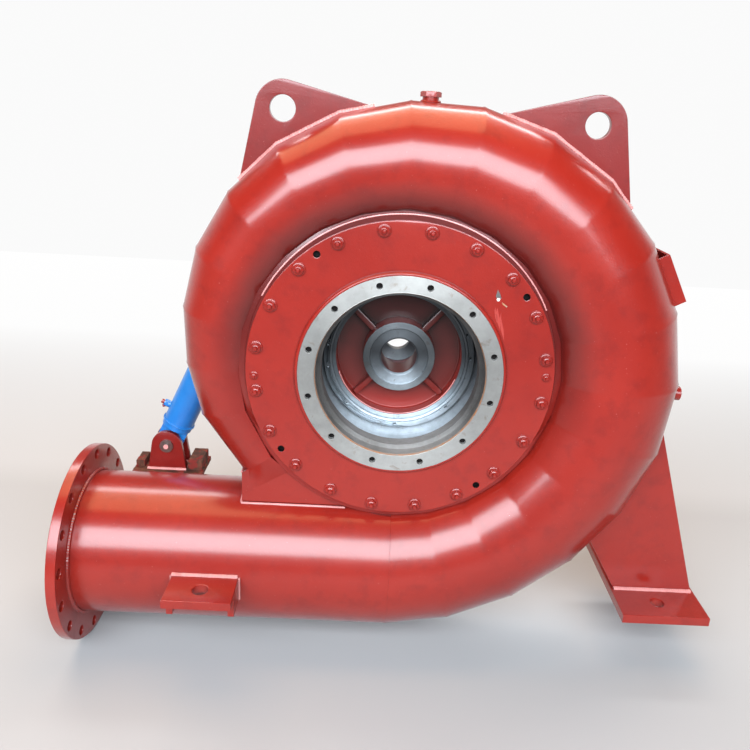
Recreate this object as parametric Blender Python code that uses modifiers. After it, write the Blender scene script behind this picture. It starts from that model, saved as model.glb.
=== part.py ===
"""A horizontal Francis turbine: welded spiral case, covers, guide vanes, regulating ring and servomotor.

Metres, +Z up. The shaft axis runs along Y, and the draft-tube side faces -Y. The origin lies on the
underside of the leg's base plate, in the spiral's middle plane. Shapes are built in the turbine's own
coordinates, where the shaft's centre is (0, 0, 0), under an empty that stands at SHAFT.
"""

from math import acos, asin, atan2, cos, degrees, hypot, pi, radians, sin, sqrt, tan

import bmesh
import bpy
from mathutils import Matrix, Vector

# Gap kept between pieces that touch, and the sides of what is turned, which line up with one another
GAP = 0.0003
TURN_STEPS = 40

# Inlet pipe and flange, DN 400
PIPE_RADIUS = 0.2032
WALL = 0.010
PIPE_Z = -0.6076
FLANGE_RADIUS = 0.2825
FLANGE_FACE_X = -0.906
FLANGE_THICKNESS = 0.0275
FLANGE_BOLT_CIRCLE = 0.2575
FLANGE_HOLE_RADIUS = 0.014
FLANGE_HOLES = 16

# Spiral: round sections that open inwards at the stay ring, one at each mitre joint
MOUTH_RADIUS = 0.4307
MOUTH_HALF_WIDTH = 0.100
MOUTH_SPARE = 0.005
MITRES_PER_NODE = 4
ARC_POINTS = 15
JOINT_ANGLES = (
    -90.0, -76.3, -61.1, -45.9, -30.7, -15.5, -0.3, 14.9, 30.1, 45.3, 60.5,
    75.7, 90.9, 106.1, 121.3, 136.5, 151.7, 166.9, 182.1, 197.3, 217.5,
)
JOINT_RADII = (
    0.2032, 0.1996, 0.1952, 0.1919, 0.1902, 0.1884, 0.1862, 0.1811, 0.1749, 0.1693, 0.1637,
    0.1578, 0.1510, 0.1450, 0.1388, 0.1321, 0.1251, 0.1172, 0.1104, 0.1067, 0.1014,
)

# Stay ring
STAY_INNER = 0.3603
STAY_PLATE_OUTSIDE = 0.090
STAY_PLATE_INSIDE = 0.060
STAY_VANES = 8
STAY_VANE_START = 22.5
STAY_VANE_RADIUS = 0.397
STAY_VANE_LENGTH = 0.070
STAY_VANE_THICKNESS = 0.017
STAY_VANE_LEAN = 35.0

# Covers
COVER_RADIUS = 0.409
COVER_FACE = 0.115
COVER_BODY = STAY_INNER - 2 * GAP
CHANNEL_HALF = 0.050
DRAFT_FACE = -0.129
DRAFT_RADIUS = 0.271
DRAFT_BORE = 0.227
DRAFT_STEP_BORE = 0.212
DRAFT_STEP_Y = -0.090
DRAFT_SLEEVE = 0.237
DRAFT_BOLT_CIRCLE = 0.2502
DRAFT_HOLE_RADIUS = 0.0075
DRAFT_HOLES = 12
DRAFT_HOLE_START = 105.5

# Shaft housing in the back cover
HOUSING_RADIUS = 0.190
CAVITY_RADIUS = 0.179
CAVITY_FRONT = 0.045
CAVITY_FLOOR = 0.100
HUB_RADIUS = 0.102
HUB_FRONT = 0.038
HUB_BACK = 0.262
HUB_BORE = (
    (0.083, 0.038), (0.083, 0.043), (0.055, 0.043), (0.051, 0.049), (0.051, 0.140),
    (0.075, 0.140), (0.075, 0.235), (0.040, 0.235), (0.040, HUB_BACK),
)
HUB_NECK = 0.090
RIB_THICKNESS = 0.022
RIB_FRONT = 0.062
RIB_SINK = 0.006
RIBS = 4
RIB_START = 47.0
SEAL_FRONT = 0.032
SEAL_OUTER = 0.2135

# Guide vanes, levers and regulating ring
GUIDE_VANES = 12
VANE_CIRCLE = 0.300
VANE_START = 15.0
VANE_CHORD = 0.153
VANE_THICKNESS = 0.020
VANE_HALF_HEIGHT = 0.045
STEM_RADIUS = 0.0145
STEM_HOLE_RADIUS = 0.016
LEVER_FRONT = 0.135
LEVER_BACK = 0.155
LEVER_EYE = 0.025
LEVER_HALF_WIDTH = 0.022
LEVER_LENGTH = 0.082
SLOT_START = 0.046
SLOT_HALF_WIDTH = 0.010
RING_TURN = 12.0
RING_PIN_CIRCLE = 0.240
RING_PIN_RADIUS = 0.007
RING_PIN_FRONT = 0.139
RING_INNER = 0.1965
RING_OUTER = 0.268
RING_FRONT = 0.162
RING_BACK = 0.182
SEAT_RADIUS = 0.195
SEAT_INNER = 0.150
SEAT_BACK = 0.182
KEEPER_RADIUS = 0.212
KEEPER_THICKNESS = 0.010

# Servomotor, drawn along its own axis from the lower pin
SERVO_Y = 0.235
SERVO_PIN_X = -0.7145
SERVO_PIN_Z = -0.389
SERVO_LEAN = 24.5
SERVO_PIN_RADIUS = 0.0125
SERVO_PIN_HEAD = 0.021
BARREL_RADIUS = 0.0475
BARREL_BORE = 0.032
BARREL_BOTTOM = 0.060
BARREL_TOP = 0.440
GLAND_TOP = 0.475
GLAND_RADIUS = 0.052
GLAND_BORE = 0.021
BARREL_EYE = 0.042
ROD_EYE = 0.033
EYE_WIDTH = 0.030
EYE_BORE = 0.0128
NECK_WIDTH = 0.084
PORT_RADIUS = 0.011
PORT_REACH = 0.076
PORT_PLACES = (0.118, 0.405)
ROD_RADIUS = 0.020
PISTON_RADIUS = 0.0313
PISTON_LOW = 0.290
PISTON_HIGH = 0.315
ROD_EYE_BORE = 0.0165
ARM_THICKNESS = 0.020
ARM_HALF_WIDTH = 0.042
ARM_ROOT_SPREAD = 22.0
ARM_TIP_SPREAD = 75.0

# Servomotor's bracket on the pipe
SERVO_BASE_Z = -0.471
SERVO_BASE_THICKNESS = 0.016
SERVO_BASE_LEFT = -0.822
SERVO_BASE_RIGHT = -0.598
SERVO_BASE_FRONT = 0.173
SERVO_BASE_BACK = 0.305
CHEEK_HALF_WIDTH = 0.0605
CHEEK_ROUND = 0.048
CHEEK_THICKNESS = 0.016
CHEEK_CLEARANCE = 0.006
SERVO_RIB_THICKNESS = 0.014
SERVO_RIB_FRONT = 0.130
SERVO_RIB_BACK = 0.285
SERVO_RIB_LOW = -0.628
SERVO_RIB_X = (-0.772, -0.650)

# Tongue between the spiral's small end and the pipe
TONGUE_LEFT = -0.425
TONGUE_FACE = 0.078
TONGUE_PLATE = 0.014
TONGUE_END_LOW = -0.458

# Lifting lugs in the middle plane, whose angles are where the side and top edges meet the rim
LUG_THICKNESS = 0.020
LUG_HOLE_RADIUS = 0.033
LEFT_LUG_HOLE = (-0.333, 0.6585)
LEFT_LUG_ROUND = 0.070
LEFT_LUG_ANGLES = (133.0, 98.5)
RIGHT_LUG_HOLE = (0.4666, 0.659)
RIGHT_LUG_ROUND = 0.0745
RIGHT_LUG_ANGLES = (38.0, 71.5)

# Leg under the spiral's outer side
LEG_THICKNESS = 0.024
LEG_RIM_ANGLES = (-10.5, -40.7)
LEG_INSET = 0.008
LEG_BASE_TOP = -0.695
LEG_BASE_THICKNESS = 0.028
LEG_BASE_LEFT = 0.690
LEG_BASE_RIGHT = 0.945
LEG_BASE_FRONT = -0.138
LEG_BASE_BACK = 0.262
LEG_HOLE_X = 0.812
LEG_HOLE_RADIUS = 0.020
LEG_HOLE_YS = (-0.074, 0.190)
GUSSET_THICKNESS = 0.020
GUSSET_X = 0.745
GUSSET_TOP = -0.400
GUSSET_TOE = 0.030

# Brackets on both sides of the pipe
BRACKET_LEFT = -0.594
BRACKET_RIGHT = -0.412
BRACKET_TOP = -0.580
BRACKET_THICKNESS = 0.025
BRACKET_ROOT = 0.150
BRACKET_REACH = 0.314
BRACKET_HOLE_X = -0.503
BRACKET_HOLE_Y = 0.262
BRACKET_HOLE_RADIUS = 0.021
BRACKET_RIB = 0.018
BRACKET_RIB_DROP = 0.050
BRACKET_RIB_SETBACK = 0.045

# Small fittings on the spiral's rim, sunk by ROOT_SINK and then cut to its surface
ROOT_SINK = 0.014
VENT_X = 0.038
VENT_RADIUS = 0.021
VENT_TOP = 0.022
VENT_HEXAGON = 0.027
CHANNEL_ANGLE = 21.8
CHANNEL_LEAN = 27.5
CHANNEL_FACE = 0.767
CHANNEL_SHIFT = -0.0751
CHANNEL_DEPTH = 0.060
CHANNEL_LENGTH = 0.1394
CHANNEL_FRONT = -0.058
CHANNEL_BACK = 0.045
CHANNEL_WALL = 0.006
TAP_ANGLE = -3.9
TAP_RADIUS = 0.020
TAP_REACH = 0.028

SHAFT = Vector(((LEG_BASE_LEFT + LEG_BASE_RIGHT) / -2, 0.0, LEG_BASE_THICKNESS - LEG_BASE_TOP))


# Scene

for old in list(bpy.data.objects):
    bpy.data.objects.remove(old, do_unlink=True)

turbine = bpy.data.collections.new("francis_turbine")
cutters = bpy.data.collections.new("cutters")
bpy.context.scene.collection.children.link(turbine)
bpy.context.scene.collection.children.link(cutters)
shaft = bpy.data.objects.new("shaft_centre", None)
shaft.location = SHAFT
turbine.objects.link(shaft)


def material(name, color, roughness, metallic):
    made = bpy.data.materials.new(name)
    made.use_nodes = True
    shader = made.node_tree.nodes["Principled BSDF"]
    shader.inputs["Base Color"].default_value = (*color, 1.0)
    shader.inputs["Roughness"].default_value = roughness
    shader.inputs["Metallic"].default_value = metallic
    return made


RED = material("red_paint", (0.42, 0.035, 0.025), 0.38, 0.0)
STEEL = material("bare_steel", (0.56, 0.57, 0.56), 0.32, 1.0)
BLUE = material("blue_paint", (0.02, 0.20, 0.62), 0.40, 0.0)
RUST = material("rusty_steel", (0.28, 0.11, 0.045), 0.80, 0.3)


# Making and joining objects

def place(name, data, finish, location=(0, 0, 0), turn=(0, 0, 0), parent=shaft):
    made = bpy.data.objects.new(name, data)
    turbine.objects.link(made)
    made.parent = parent
    made.location = location
    made.rotation_euler = turn
    if finish and not data.materials:
        data.materials.append(finish)
    return made


def helper(made):
    """Turns an object into a cutter or a piece that another one takes in."""
    turbine.objects.unlink(made)
    cutters.objects.link(made)
    made.hide_render = True
    made.display_type = "WIRE"
    return made


def boolean(target, other, operation):
    step = target.modifiers.new(operation.lower(), "BOOLEAN")
    step.operation = operation
    step.object = helper(other)
    return target


def mesh_of(bm, name):
    bmesh.ops.recalc_face_normals(bm, faces=bm.faces)
    mesh = bpy.data.meshes.new(name)
    bm.to_mesh(mesh)
    bm.free()
    return mesh


def box(name, low, high, finish):
    low, high = Vector(low), Vector(high)
    bm = bmesh.new()
    bmesh.ops.create_cube(bm, size=1.0)
    bmesh.ops.scale(bm, vec=high - low, verts=bm.verts)
    return place(name, mesh_of(bm, name), finish, (low + high) / 2)


def cylinder(name, radius, start, end, finish, sides=24):
    """A round bar between two points."""
    start, end = Vector(start), Vector(end)
    bm = bmesh.new()
    bmesh.ops.create_cone(
        bm, cap_ends=True, segments=sides, radius1=radius, radius2=radius, depth=(end - start).length
    )
    turn = (end - start).to_track_quat("Z", "X").to_euler()
    return place(name, mesh_of(bm, name), finish, (start + end) / 2, turn)


def turned(
    name, profile, finish, steps=TURN_STEPS, closed=True, turn=(-pi / 2, 0, 0), location=(0, 0, 0)
):
    """A profile of (radius, distance along the axis), turned about the object's Z axis. It lies along Y."""
    count = len(profile)
    area = sum(
        profile[i][0] * profile[(i + 1) % count][1] - profile[(i + 1) % count][0] * profile[i][1]
        for i in range(count)
    )
    points = profile if area < 0 else profile[::-1]
    edges = [(i, (i + 1) % count) for i in range(count if closed else count - 1)]
    mesh = bpy.data.meshes.new(name)
    mesh.from_pydata([(radius, 0, along) for radius, along in points], edges, [])
    made = place(name, mesh, finish, location, turn)
    screw = made.modifiers.new("turn", "SCREW")
    screw.steps = screw.render_steps = steps
    screw.use_merge_vertices = True
    screw.merge_threshold = 0.0001
    screw.use_smooth_shade = True
    return made


def flat(name, outlines, front, back, finish):
    """Closed outlines of (x, z) points, filled and given the thickness between two Y planes."""
    curve = bpy.data.curves.new(name, "CURVE")
    curve.dimensions = "2D"
    curve.fill_mode = "BOTH"
    curve.extrude = (back - front) / 2
    for outline in outlines:
        spline = curve.splines.new("POLY")
        spline.points.add(len(outline) - 1)
        for point, (x, z) in zip(spline.points, outline):
            point.co = (x, z, 0, 1)
        spline.use_cyclic_u = True
    return place(name, curve, finish, (0, (front + back) / 2, 0), (pi / 2, 0, 0))


def as_mesh(made):
    """The object with its modifiers applied, as a plain mesh with welded caps."""
    bpy.context.view_layer.update()
    graph = bpy.context.evaluated_depsgraph_get()
    mesh = bpy.data.meshes.new_from_object(made.evaluated_get(graph))
    bm = bmesh.new()
    bm.from_mesh(mesh)
    bmesh.ops.remove_doubles(bm, verts=bm.verts, dist=0.00001)
    bm.to_mesh(mesh)
    bm.free()
    name, finish = made.name, made.data.materials[0]
    location, turn, parent = made.location.copy(), made.rotation_euler.copy(), made.parent
    bpy.data.objects.remove(made, do_unlink=True)
    mesh.materials.clear()
    return place(name, mesh, finish, location, turn, parent)


def polar(radius, angle):
    return (radius * cos(radians(angle)), radius * sin(radians(angle)))


def circle(radius, centre=(0, 0), sides=24):
    return [
        (centre[0] + radius * cos(2 * pi * i / sides), centre[1] + radius * sin(2 * pi * i / sides))
        for i in range(sides)
    ]


def arc(centre, radius, start, end, points):
    steps = [start + (end - start) * i / (points - 1) for i in range(points)]
    return [(centre[0] + polar(radius, a)[0], centre[1] + polar(radius, a)[1]) for a in steps]


def around(radius, count, start, y_front, y_back, hole_radius, name, sides=12):
    """One mesh of round bars along Y, spaced evenly on a circle."""
    bm = bmesh.new()
    for i in range(count):
        x, z = polar(radius, start + 360 * i / count)
        spot = Matrix.Translation((x, (y_front + y_back) / 2, z)) @ Matrix.Rotation(pi / 2, 4, "X")
        bmesh.ops.create_cone(
            bm, cap_ends=True, segments=sides, radius1=hole_radius, radius2=hole_radius,
            depth=y_back - y_front, matrix=spot,
        )
    return place(name, mesh_of(bm, name), RED)


# Spiral case

MITRES = len(JOINT_ANGLES) - 1


def section_centre(index):
    return MOUTH_RADIUS + sqrt(JOINT_RADII[index] ** 2 - MOUTH_HALF_WIDTH**2)


def wall_arc(index, outside):
    """The wall's outer surface at a mitre joint, moved outside by some distance, as points in space."""
    centre = section_centre(index)
    radius = JOINT_RADII[index] + outside
    reach = acos((MOUTH_RADIUS - MOUTH_SPARE - centre) / radius)
    points = []
    for i in range(ARC_POINTS):
        turn = reach * (2 * i / (ARC_POINTS - 1) - 1)
        x, z = polar(centre + radius * cos(turn), JOINT_ANGLES[index])
        points.append(Vector((x, radius * sin(turn), z)))
    return points


def section_points(index, trim):
    """A mitre joint's C-shaped section. trim moves it along its segment, to leave a gap between nodes."""
    here = wall_arc(index, 0) + wall_arc(index, -WALL)[::-1]
    if not trim:
        return here
    other = section_points(index + (1 if trim > 0 else -1), 0)
    return [p + (q - p).normalized() * abs(trim) for p, q in zip(here, other)]


def volute_segment(number):
    first = number * MITRES_PER_NODE
    last = min(first + MITRES_PER_NODE, MITRES)
    bm = bmesh.new()
    rings = []
    for index in range(first, last + 1):
        trim = GAP / 2 if index == first else -GAP / 2 if index == last else 0
        rings.append([bm.verts.new(p) for p in section_points(index, trim)])
    count = len(rings[0])
    for near, far in zip(rings, rings[1:]):
        for i in range(count):
            j = (i + 1) % count
            bm.faces.new((near[i], near[j], far[j], far[i]))
    for ring in (rings[0], rings[-1]):
        for i in range(ARC_POINTS - 1):
            inner = 2 * ARC_POINTS - 1 - i
            bm.faces.new((ring[i], ring[i + 1], ring[inner - 1], ring[inner]))
    name = f"volute_segment_{number + 1}"
    boolean(place(name, mesh_of(bm, name), RED), stay_envelope(f"{name}_mouth"), "DIFFERENCE")


def rim_point(angle, offset=GAP):
    """The spiral's outermost point in the middle plane, on the straight line between two mitre joints."""
    index = sum(joint <= angle for joint in JOINT_ANGLES[1:-1])
    ends = [polar(section_centre(i) + JOINT_RADII[i], JOINT_ANGLES[i]) for i in (index, index + 1)]
    (x0, z0), (x1, z1) = ends
    ux, uz = polar(1, angle)
    share = (x0 * uz - z0 * ux) / ((x0 - x1) * uz - (z0 - z1) * ux)
    x, z = x0 + (x1 - x0) * share, z0 + (z1 - z0) * share
    radius = hypot(x, z) + offset
    return (radius * ux, radius * uz)


def rim_cutter(name, angle):
    """The spiral's outside near an angle, with the gap round it, to cut what stands on the rim."""
    index = min(range(1, MITRES), key=lambda joint: abs(JOINT_ANGLES[joint] - angle))
    bm = bmesh.new()
    rings = [[bm.verts.new(p) for p in wall_arc(joint, GAP)] for joint in (index - 1, index, index + 1)]
    for near, far in zip(rings, rings[1:]):
        for i in range(ARC_POINTS):
            j = (i + 1) % ARC_POINTS
            bm.faces.new((near[i], near[j], far[j], far[i]))
    bm.faces.new(rings[0])
    bm.faces.new(rings[-1])
    return place(name, mesh_of(bm, name), RED)


def rim_line(start, end):
    """Points along the spiral's rim from one angle to another, with every mitre joint between them."""
    inside = [a for a in JOINT_ANGLES if min(start, end) < a < max(start, end)]
    return [rim_point(a) for a in [start, *sorted(inside, reverse=end < start), end]]


def fitted(radius):
    """The radius of a many-sided hole that leaves the gap round a bar with as many sides."""
    return radius + GAP / cos(pi / TURN_STEPS)


def stay_envelope(name):
    """A cutter of the stay ring's outer shape, which leaves the gap round it."""
    half = MOUTH_HALF_WIDTH + MOUTH_SPARE
    return cylinder(name, fitted(MOUTH_RADIUS), (0, -half, 0), (0, half, 0), RED, TURN_STEPS)


def inlet():
    bore = PIPE_RADIUS - WALL
    length_from, length_to = FLANGE_FACE_X + 0.005, -GAP / 2
    pipe = turned(
        "inlet_pipe",
        [(bore, length_from), (PIPE_RADIUS, length_from), (PIPE_RADIUS, length_to), (bore, length_to)],
        RED, turn=(0, pi / 2, 0), location=(0, 0, PIPE_Z),
    )
    boolean(pipe, stay_envelope("pipe_mouth"), "DIFFERENCE")
    inner = fitted(PIPE_RADIUS)
    flange = turned(
        "inlet_flange",
        [
            (inner, FLANGE_FACE_X), (FLANGE_RADIUS, FLANGE_FACE_X),
            (FLANGE_RADIUS, FLANGE_FACE_X + FLANGE_THICKNESS), (inner, FLANGE_FACE_X + FLANGE_THICKNESS),
        ],
        RED, turn=(0, pi / 2, 0), location=(0, 0, PIPE_Z),
    )
    bm = bmesh.new()
    for i in range(FLANGE_HOLES):
        y, z = polar(FLANGE_BOLT_CIRCLE, 360 / FLANGE_HOLES * (i + 0.5))
        spot = Matrix.Translation((FLANGE_FACE_X + FLANGE_THICKNESS / 2, y, PIPE_Z + z))
        bmesh.ops.create_cone(
            bm, cap_ends=True, segments=10, radius1=FLANGE_HOLE_RADIUS, radius2=FLANGE_HOLE_RADIUS,
            depth=2 * FLANGE_THICKNESS, matrix=spot @ Matrix.Rotation(pi / 2, 4, "Y"),
        )
    boolean(flange, place("flange_hole_cutters", mesh_of(bm, "flange_hole_cutters"), RED), "DIFFERENCE")


def pipe_cutter(name, left, right):
    """The pipe's outside with the gap round it, to cut what stands on the pipe."""
    return cylinder(name, fitted(PIPE_RADIUS), (left, 0, PIPE_Z), (right, 0, PIPE_Z), RED, TURN_STEPS)


def stay_ring():
    """Two plates, and the fixed vanes between them, which lean inwards along the flow."""
    outer, inner = MOUTH_RADIUS, STAY_INNER
    for name, side in (("stay_ring_front", -1), ("stay_ring_back", 1)):
        near, far = sorted((side * STAY_PLATE_INSIDE, side * STAY_PLATE_OUTSIDE))
        turned(name, [(inner, near), (outer, near), (outer, far), (inner, far)], RED)
    half = STAY_PLATE_INSIDE - GAP
    nose, tail = STAY_VANE_LENGTH / 2, STAY_VANE_THICKNESS / 2
    shares = ((-1, 0), (-0.8, 0.6), (-0.4, 1), (0.3, 0.8), (1, 0.1))
    lens = [(nose * along, tail * across) for along, across in shares]
    lens += [(x, -z) for x, z in lens[:0:-1]]
    for i in range(STAY_VANES):
        angle = STAY_VANE_START + 360 / STAY_VANES * i
        vane = flat(f"stay_vane_{i + 1}", [lens], -half, half, RED)
        x, z = polar(STAY_VANE_RADIUS, angle)
        vane.location = (x, 0, z)
        vane.rotation_euler = (pi / 2, -radians(angle + 90 + STAY_VANE_LEAN), 0)


def tongue():
    """Flat plates that close the corner between the spiral's small end, the stay ring and the pipe."""
    pipe_top = PIPE_Z + sqrt((PIPE_RADIUS + GAP) ** 2 - (TONGUE_FACE - TONGUE_PLATE) ** 2) + GAP
    ring = MOUTH_RADIUS + 2 * GAP
    start = JOINT_ANGLES[-1] + 0.1
    end = 180 + degrees(acos(-sqrt(ring**2 - pipe_top**2) / -ring))
    outline = arc((0, 0), ring, start, end, 12)
    outline += [(TONGUE_LEFT, pipe_top), (TONGUE_LEFT, TONGUE_LEFT * tan(radians(start)))]
    flat("tongue_front_plate", [outline], -TONGUE_FACE, -TONGUE_FACE + TONGUE_PLATE, RED)
    flat("tongue_back_plate", [outline], TONGUE_FACE - TONGUE_PLATE, TONGUE_FACE, RED)
    inside = TONGUE_FACE - TONGUE_PLATE - GAP
    end_plate = box(
        "tongue_end_plate", (TONGUE_LEFT, -inside, TONGUE_END_LOW),
        (TONGUE_LEFT + TONGUE_PLATE, inside, outline[-1][1] - 5 * GAP), RED,
    )
    boolean(end_plate, pipe_cutter("tongue_cutter", TONGUE_LEFT - 0.1, TONGUE_LEFT + 0.1), "DIFFERENCE")


# Covers

def covers():
    turned(
        "front_cover",
        [
            (DRAFT_SLEEVE + GAP, -COVER_FACE), (COVER_RADIUS, -COVER_FACE),
            (COVER_RADIUS, -STAY_PLATE_OUTSIDE - GAP), (COVER_BODY, -STAY_PLATE_OUTSIDE - GAP),
            (COVER_BODY, -CHANNEL_HALF), (DRAFT_SLEEVE + GAP, -CHANNEL_HALF),
        ],
        RED,
    )
    draft = turned(
        "draft_ring",
        [
            (DRAFT_BORE, DRAFT_FACE), (DRAFT_RADIUS, DRAFT_FACE), (DRAFT_RADIUS, -COVER_FACE - GAP),
            (DRAFT_SLEEVE, -COVER_FACE - GAP), (DRAFT_SLEEVE, -CHANNEL_HALF),
            (DRAFT_STEP_BORE, -CHANNEL_HALF), (DRAFT_STEP_BORE, DRAFT_STEP_Y), (DRAFT_BORE, DRAFT_STEP_Y),
        ],
        STEEL,
    )
    holes = around(
        DRAFT_BOLT_CIRCLE, DRAFT_HOLES, DRAFT_HOLE_START, DRAFT_FACE - 0.01, -COVER_FACE + 0.01,
        DRAFT_HOLE_RADIUS, "draft_hole_cutters", 8,
    )
    boolean(draft, holes, "DIFFERENCE")
    back = turned(
        "back_cover",
        [
            (HOUSING_RADIUS + GAP, COVER_FACE), (COVER_RADIUS, COVER_FACE),
            (COVER_RADIUS, STAY_PLATE_OUTSIDE + GAP), (COVER_BODY, STAY_PLATE_OUTSIDE + GAP),
            (COVER_BODY, CHANNEL_HALF), (HOUSING_RADIUS + GAP, CHANNEL_HALF),
        ],
        RED,
    )
    stems = around(
        VANE_CIRCLE, GUIDE_VANES, VANE_START, CHANNEL_HALF - 0.01, COVER_FACE + 0.01,
        STEM_HOLE_RADIUS, "stem_hole_cutters",
    )
    boolean(back, stems, "DIFFERENCE")
    turned(
        "seal_ring",
        [
            (HOUSING_RADIUS + GAP, SEAL_FRONT), (SEAL_OUTER, SEAL_FRONT),
            (SEAL_OUTER, CHANNEL_HALF - GAP), (HOUSING_RADIUS + GAP, CHANNEL_HALF - GAP),
        ],
        STEEL,
    )


def shaft_housing():
    housing = turned(
        "shaft_housing",
        [
            (HOUSING_RADIUS, COVER_FACE), (HOUSING_RADIUS, CAVITY_FRONT), (CAVITY_RADIUS, CAVITY_FRONT),
            (CAVITY_RADIUS, CAVITY_FLOOR), (HUB_RADIUS, CAVITY_FLOOR), (HUB_RADIUS, HUB_FRONT),
            *HUB_BORE, (HUB_NECK, HUB_BACK), (HUB_NECK, COVER_FACE),
        ],
        RED,
    )
    bm = bmesh.new()
    low, high = HUB_RADIUS - RIB_SINK, CAVITY_RADIUS + RIB_SINK
    back = CAVITY_FLOOR + RIB_SINK
    for i in range(RIBS):
        angle = RIB_START + 360 / RIBS * i
        x, z = polar((low + high) / 2, angle)
        spot = Matrix.Translation((x, (RIB_FRONT + back) / 2, z)) @ Matrix.Rotation(-radians(angle), 4, "Y")
        size = Matrix.Diagonal((high - low, back - RIB_FRONT, RIB_THICKNESS, 1))
        bmesh.ops.create_cube(bm, size=1.0, matrix=spot @ size)
    boolean(housing, place("housing_ribs", mesh_of(bm, "housing_ribs"), RED), "UNION")


# Guide vanes and their drive

PIN_BACK = RING_TURN / 2
PIN_OFFSET = (
    RING_PIN_CIRCLE * cos(radians(PIN_BACK)) - VANE_CIRCLE,
    RING_PIN_CIRCLE * sin(radians(PIN_BACK)),
)


def guide_vanes():
    """Vane, stem and forked lever are one keyed unit, drawn with X outwards and Z along the flow."""
    half = VANE_CHORD / 2
    thick = VANE_THICKNESS / 2
    shares = [i / 6 for i in range(7)]
    side = [(thick * 2.6 * sqrt(s) * (1 - s) ** 0.85 + 0.0012 * s, -half + VANE_CHORD * s) for s in shares]
    outline = side + [(-x, z) for x, z in side[::-1] if x > 0]
    vane = as_mesh(flat("vane_blade", [outline], -VANE_HALF_HEIGHT, VANE_HALF_HEIGHT, STEEL))
    stem_ends = (0, VANE_HALF_HEIGHT - 0.004, 0), (0, LEVER_BACK + 0.008, 0)
    stem = cylinder("vane_stem", STEM_RADIUS, *stem_ends, STEEL, 12)
    lean = atan2(PIN_OFFSET[1], PIN_OFFSET[0])
    eye_side = degrees(asin(LEVER_HALF_WIDTH / LEVER_EYE))
    shape = arc((0, 0), LEVER_EYE, eye_side, 360 - eye_side, 8)
    shape += [
        (LEVER_LENGTH, -LEVER_HALF_WIDTH), (LEVER_LENGTH, -SLOT_HALF_WIDTH), (SLOT_START, -SLOT_HALF_WIDTH),
        (SLOT_START, SLOT_HALF_WIDTH), (LEVER_LENGTH, SLOT_HALF_WIDTH), (LEVER_LENGTH, LEVER_HALF_WIDTH),
    ]
    turned_shape = [(x * cos(lean) - z * sin(lean), x * sin(lean) + z * cos(lean)) for x, z in shape]
    lever = as_mesh(flat("vane_lever", [turned_shape], LEVER_FRONT, LEVER_BACK, STEEL))
    boolean(vane, stem, "UNION")
    boolean(vane, lever, "UNION")
    unit = as_mesh(vane)
    unit.data.transform(unit.matrix_basis)
    for i in range(GUIDE_VANES):
        angle = VANE_START + 360 / GUIDE_VANES * i
        x, z = polar(VANE_CIRCLE, angle)
        place(f"guide_vane_{i + 1:02d}", unit.data, STEEL, (x, 0, z), (0, -radians(angle), 0))
    bpy.data.objects.remove(unit, do_unlink=True)


def regulating_ring(arm_angle, arm_radius):
    ring = turned(
        "regulating_ring",
        [
            (RING_INNER, RING_FRONT), (RING_OUTER, RING_FRONT),
            (RING_OUTER, RING_BACK), (RING_INNER, RING_BACK),
        ],
        RED,
    )
    pins = around(
        RING_PIN_CIRCLE, GUIDE_VANES, VANE_START + PIN_BACK, RING_PIN_FRONT, RING_FRONT + 0.005,
        RING_PIN_RADIUS, "ring_pins",
    )
    boolean(ring, pins, "UNION")
    turned(
        "ring_seat",
        [
            (SEAT_INNER, COVER_FACE + GAP), (SEAT_RADIUS, COVER_FACE + GAP),
            (SEAT_RADIUS, SEAT_BACK), (SEAT_INNER, SEAT_BACK),
        ],
        RED,
    )
    turned(
        "ring_keeper",
        [
            (SEAT_INNER, SEAT_BACK + GAP), (KEEPER_RADIUS, SEAT_BACK + GAP),
            (KEEPER_RADIUS, SEAT_BACK + KEEPER_THICKNESS), (SEAT_INNER, SEAT_BACK + KEEPER_THICKNESS),
        ],
        STEEL,
    )
    front = RING_BACK + GAP
    inner = KEEPER_RADIUS + 0.006
    tip = polar(arm_radius, arm_angle)
    across = polar(ARM_HALF_WIDTH, arm_angle + 90)
    root = [polar(inner, arm_angle + side * ARM_ROOT_SPREAD) for side in (-1, -0.5, 0, 0.5, 1)]
    rim = [polar(RING_OUTER, arm_angle + side * ARM_ROOT_SPREAD) for side in (1, -1)]
    outline = [*root, rim[0], (tip[0] + across[0], tip[1] + across[1])]
    outline += arc(tip, ARM_HALF_WIDTH, arm_angle + ARM_TIP_SPREAD, arm_angle - ARM_TIP_SPREAD, 7)
    outline += [(tip[0] - across[0], tip[1] - across[1]), rim[1]]
    hole = circle((SERVO_PIN_RADIUS + GAP) / cos(pi / 24), tip)
    flat("ring_arm", [outline, hole], front, front + ARM_THICKNESS, RED)
    pin = cylinder(
        "arm_pin", SERVO_PIN_RADIUS, (tip[0], front, tip[1]),
        (tip[0], SERVO_Y + EYE_WIDTH / 2 + 0.014, tip[1]), STEEL,
    )
    washer = SERVO_Y + EYE_WIDTH / 2 + 0.006
    collar = front + ARM_THICKNESS + GAP
    for number, near in enumerate((collar, washer)):
        ends = (tip[0], near, tip[1]), (tip[0], near + 0.006, tip[1])
        boolean(pin, cylinder(f"arm_collar_{number}", SERVO_PIN_HEAD, *ends, STEEL), "UNION")


# Servomotor

LEAN = radians(SERVO_LEAN)
SERVO_LENGTH = -(SERVO_PIN_X * sin(LEAN) + SERVO_PIN_Z * cos(LEAN))
ARM_TIP = (SERVO_PIN_X + SERVO_LENGTH * sin(LEAN), SERVO_PIN_Z + SERVO_LENGTH * cos(LEAN))


def along_servo(distance, side=0.0, y=SERVO_Y):
    """A point at a distance from the lower pin along the servomotor, and to its left."""
    x = SERVO_PIN_X + distance * sin(LEAN) - side * cos(LEAN)
    return (x, y, SERVO_PIN_Z + distance * cos(LEAN) + side * sin(LEAN))


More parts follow.
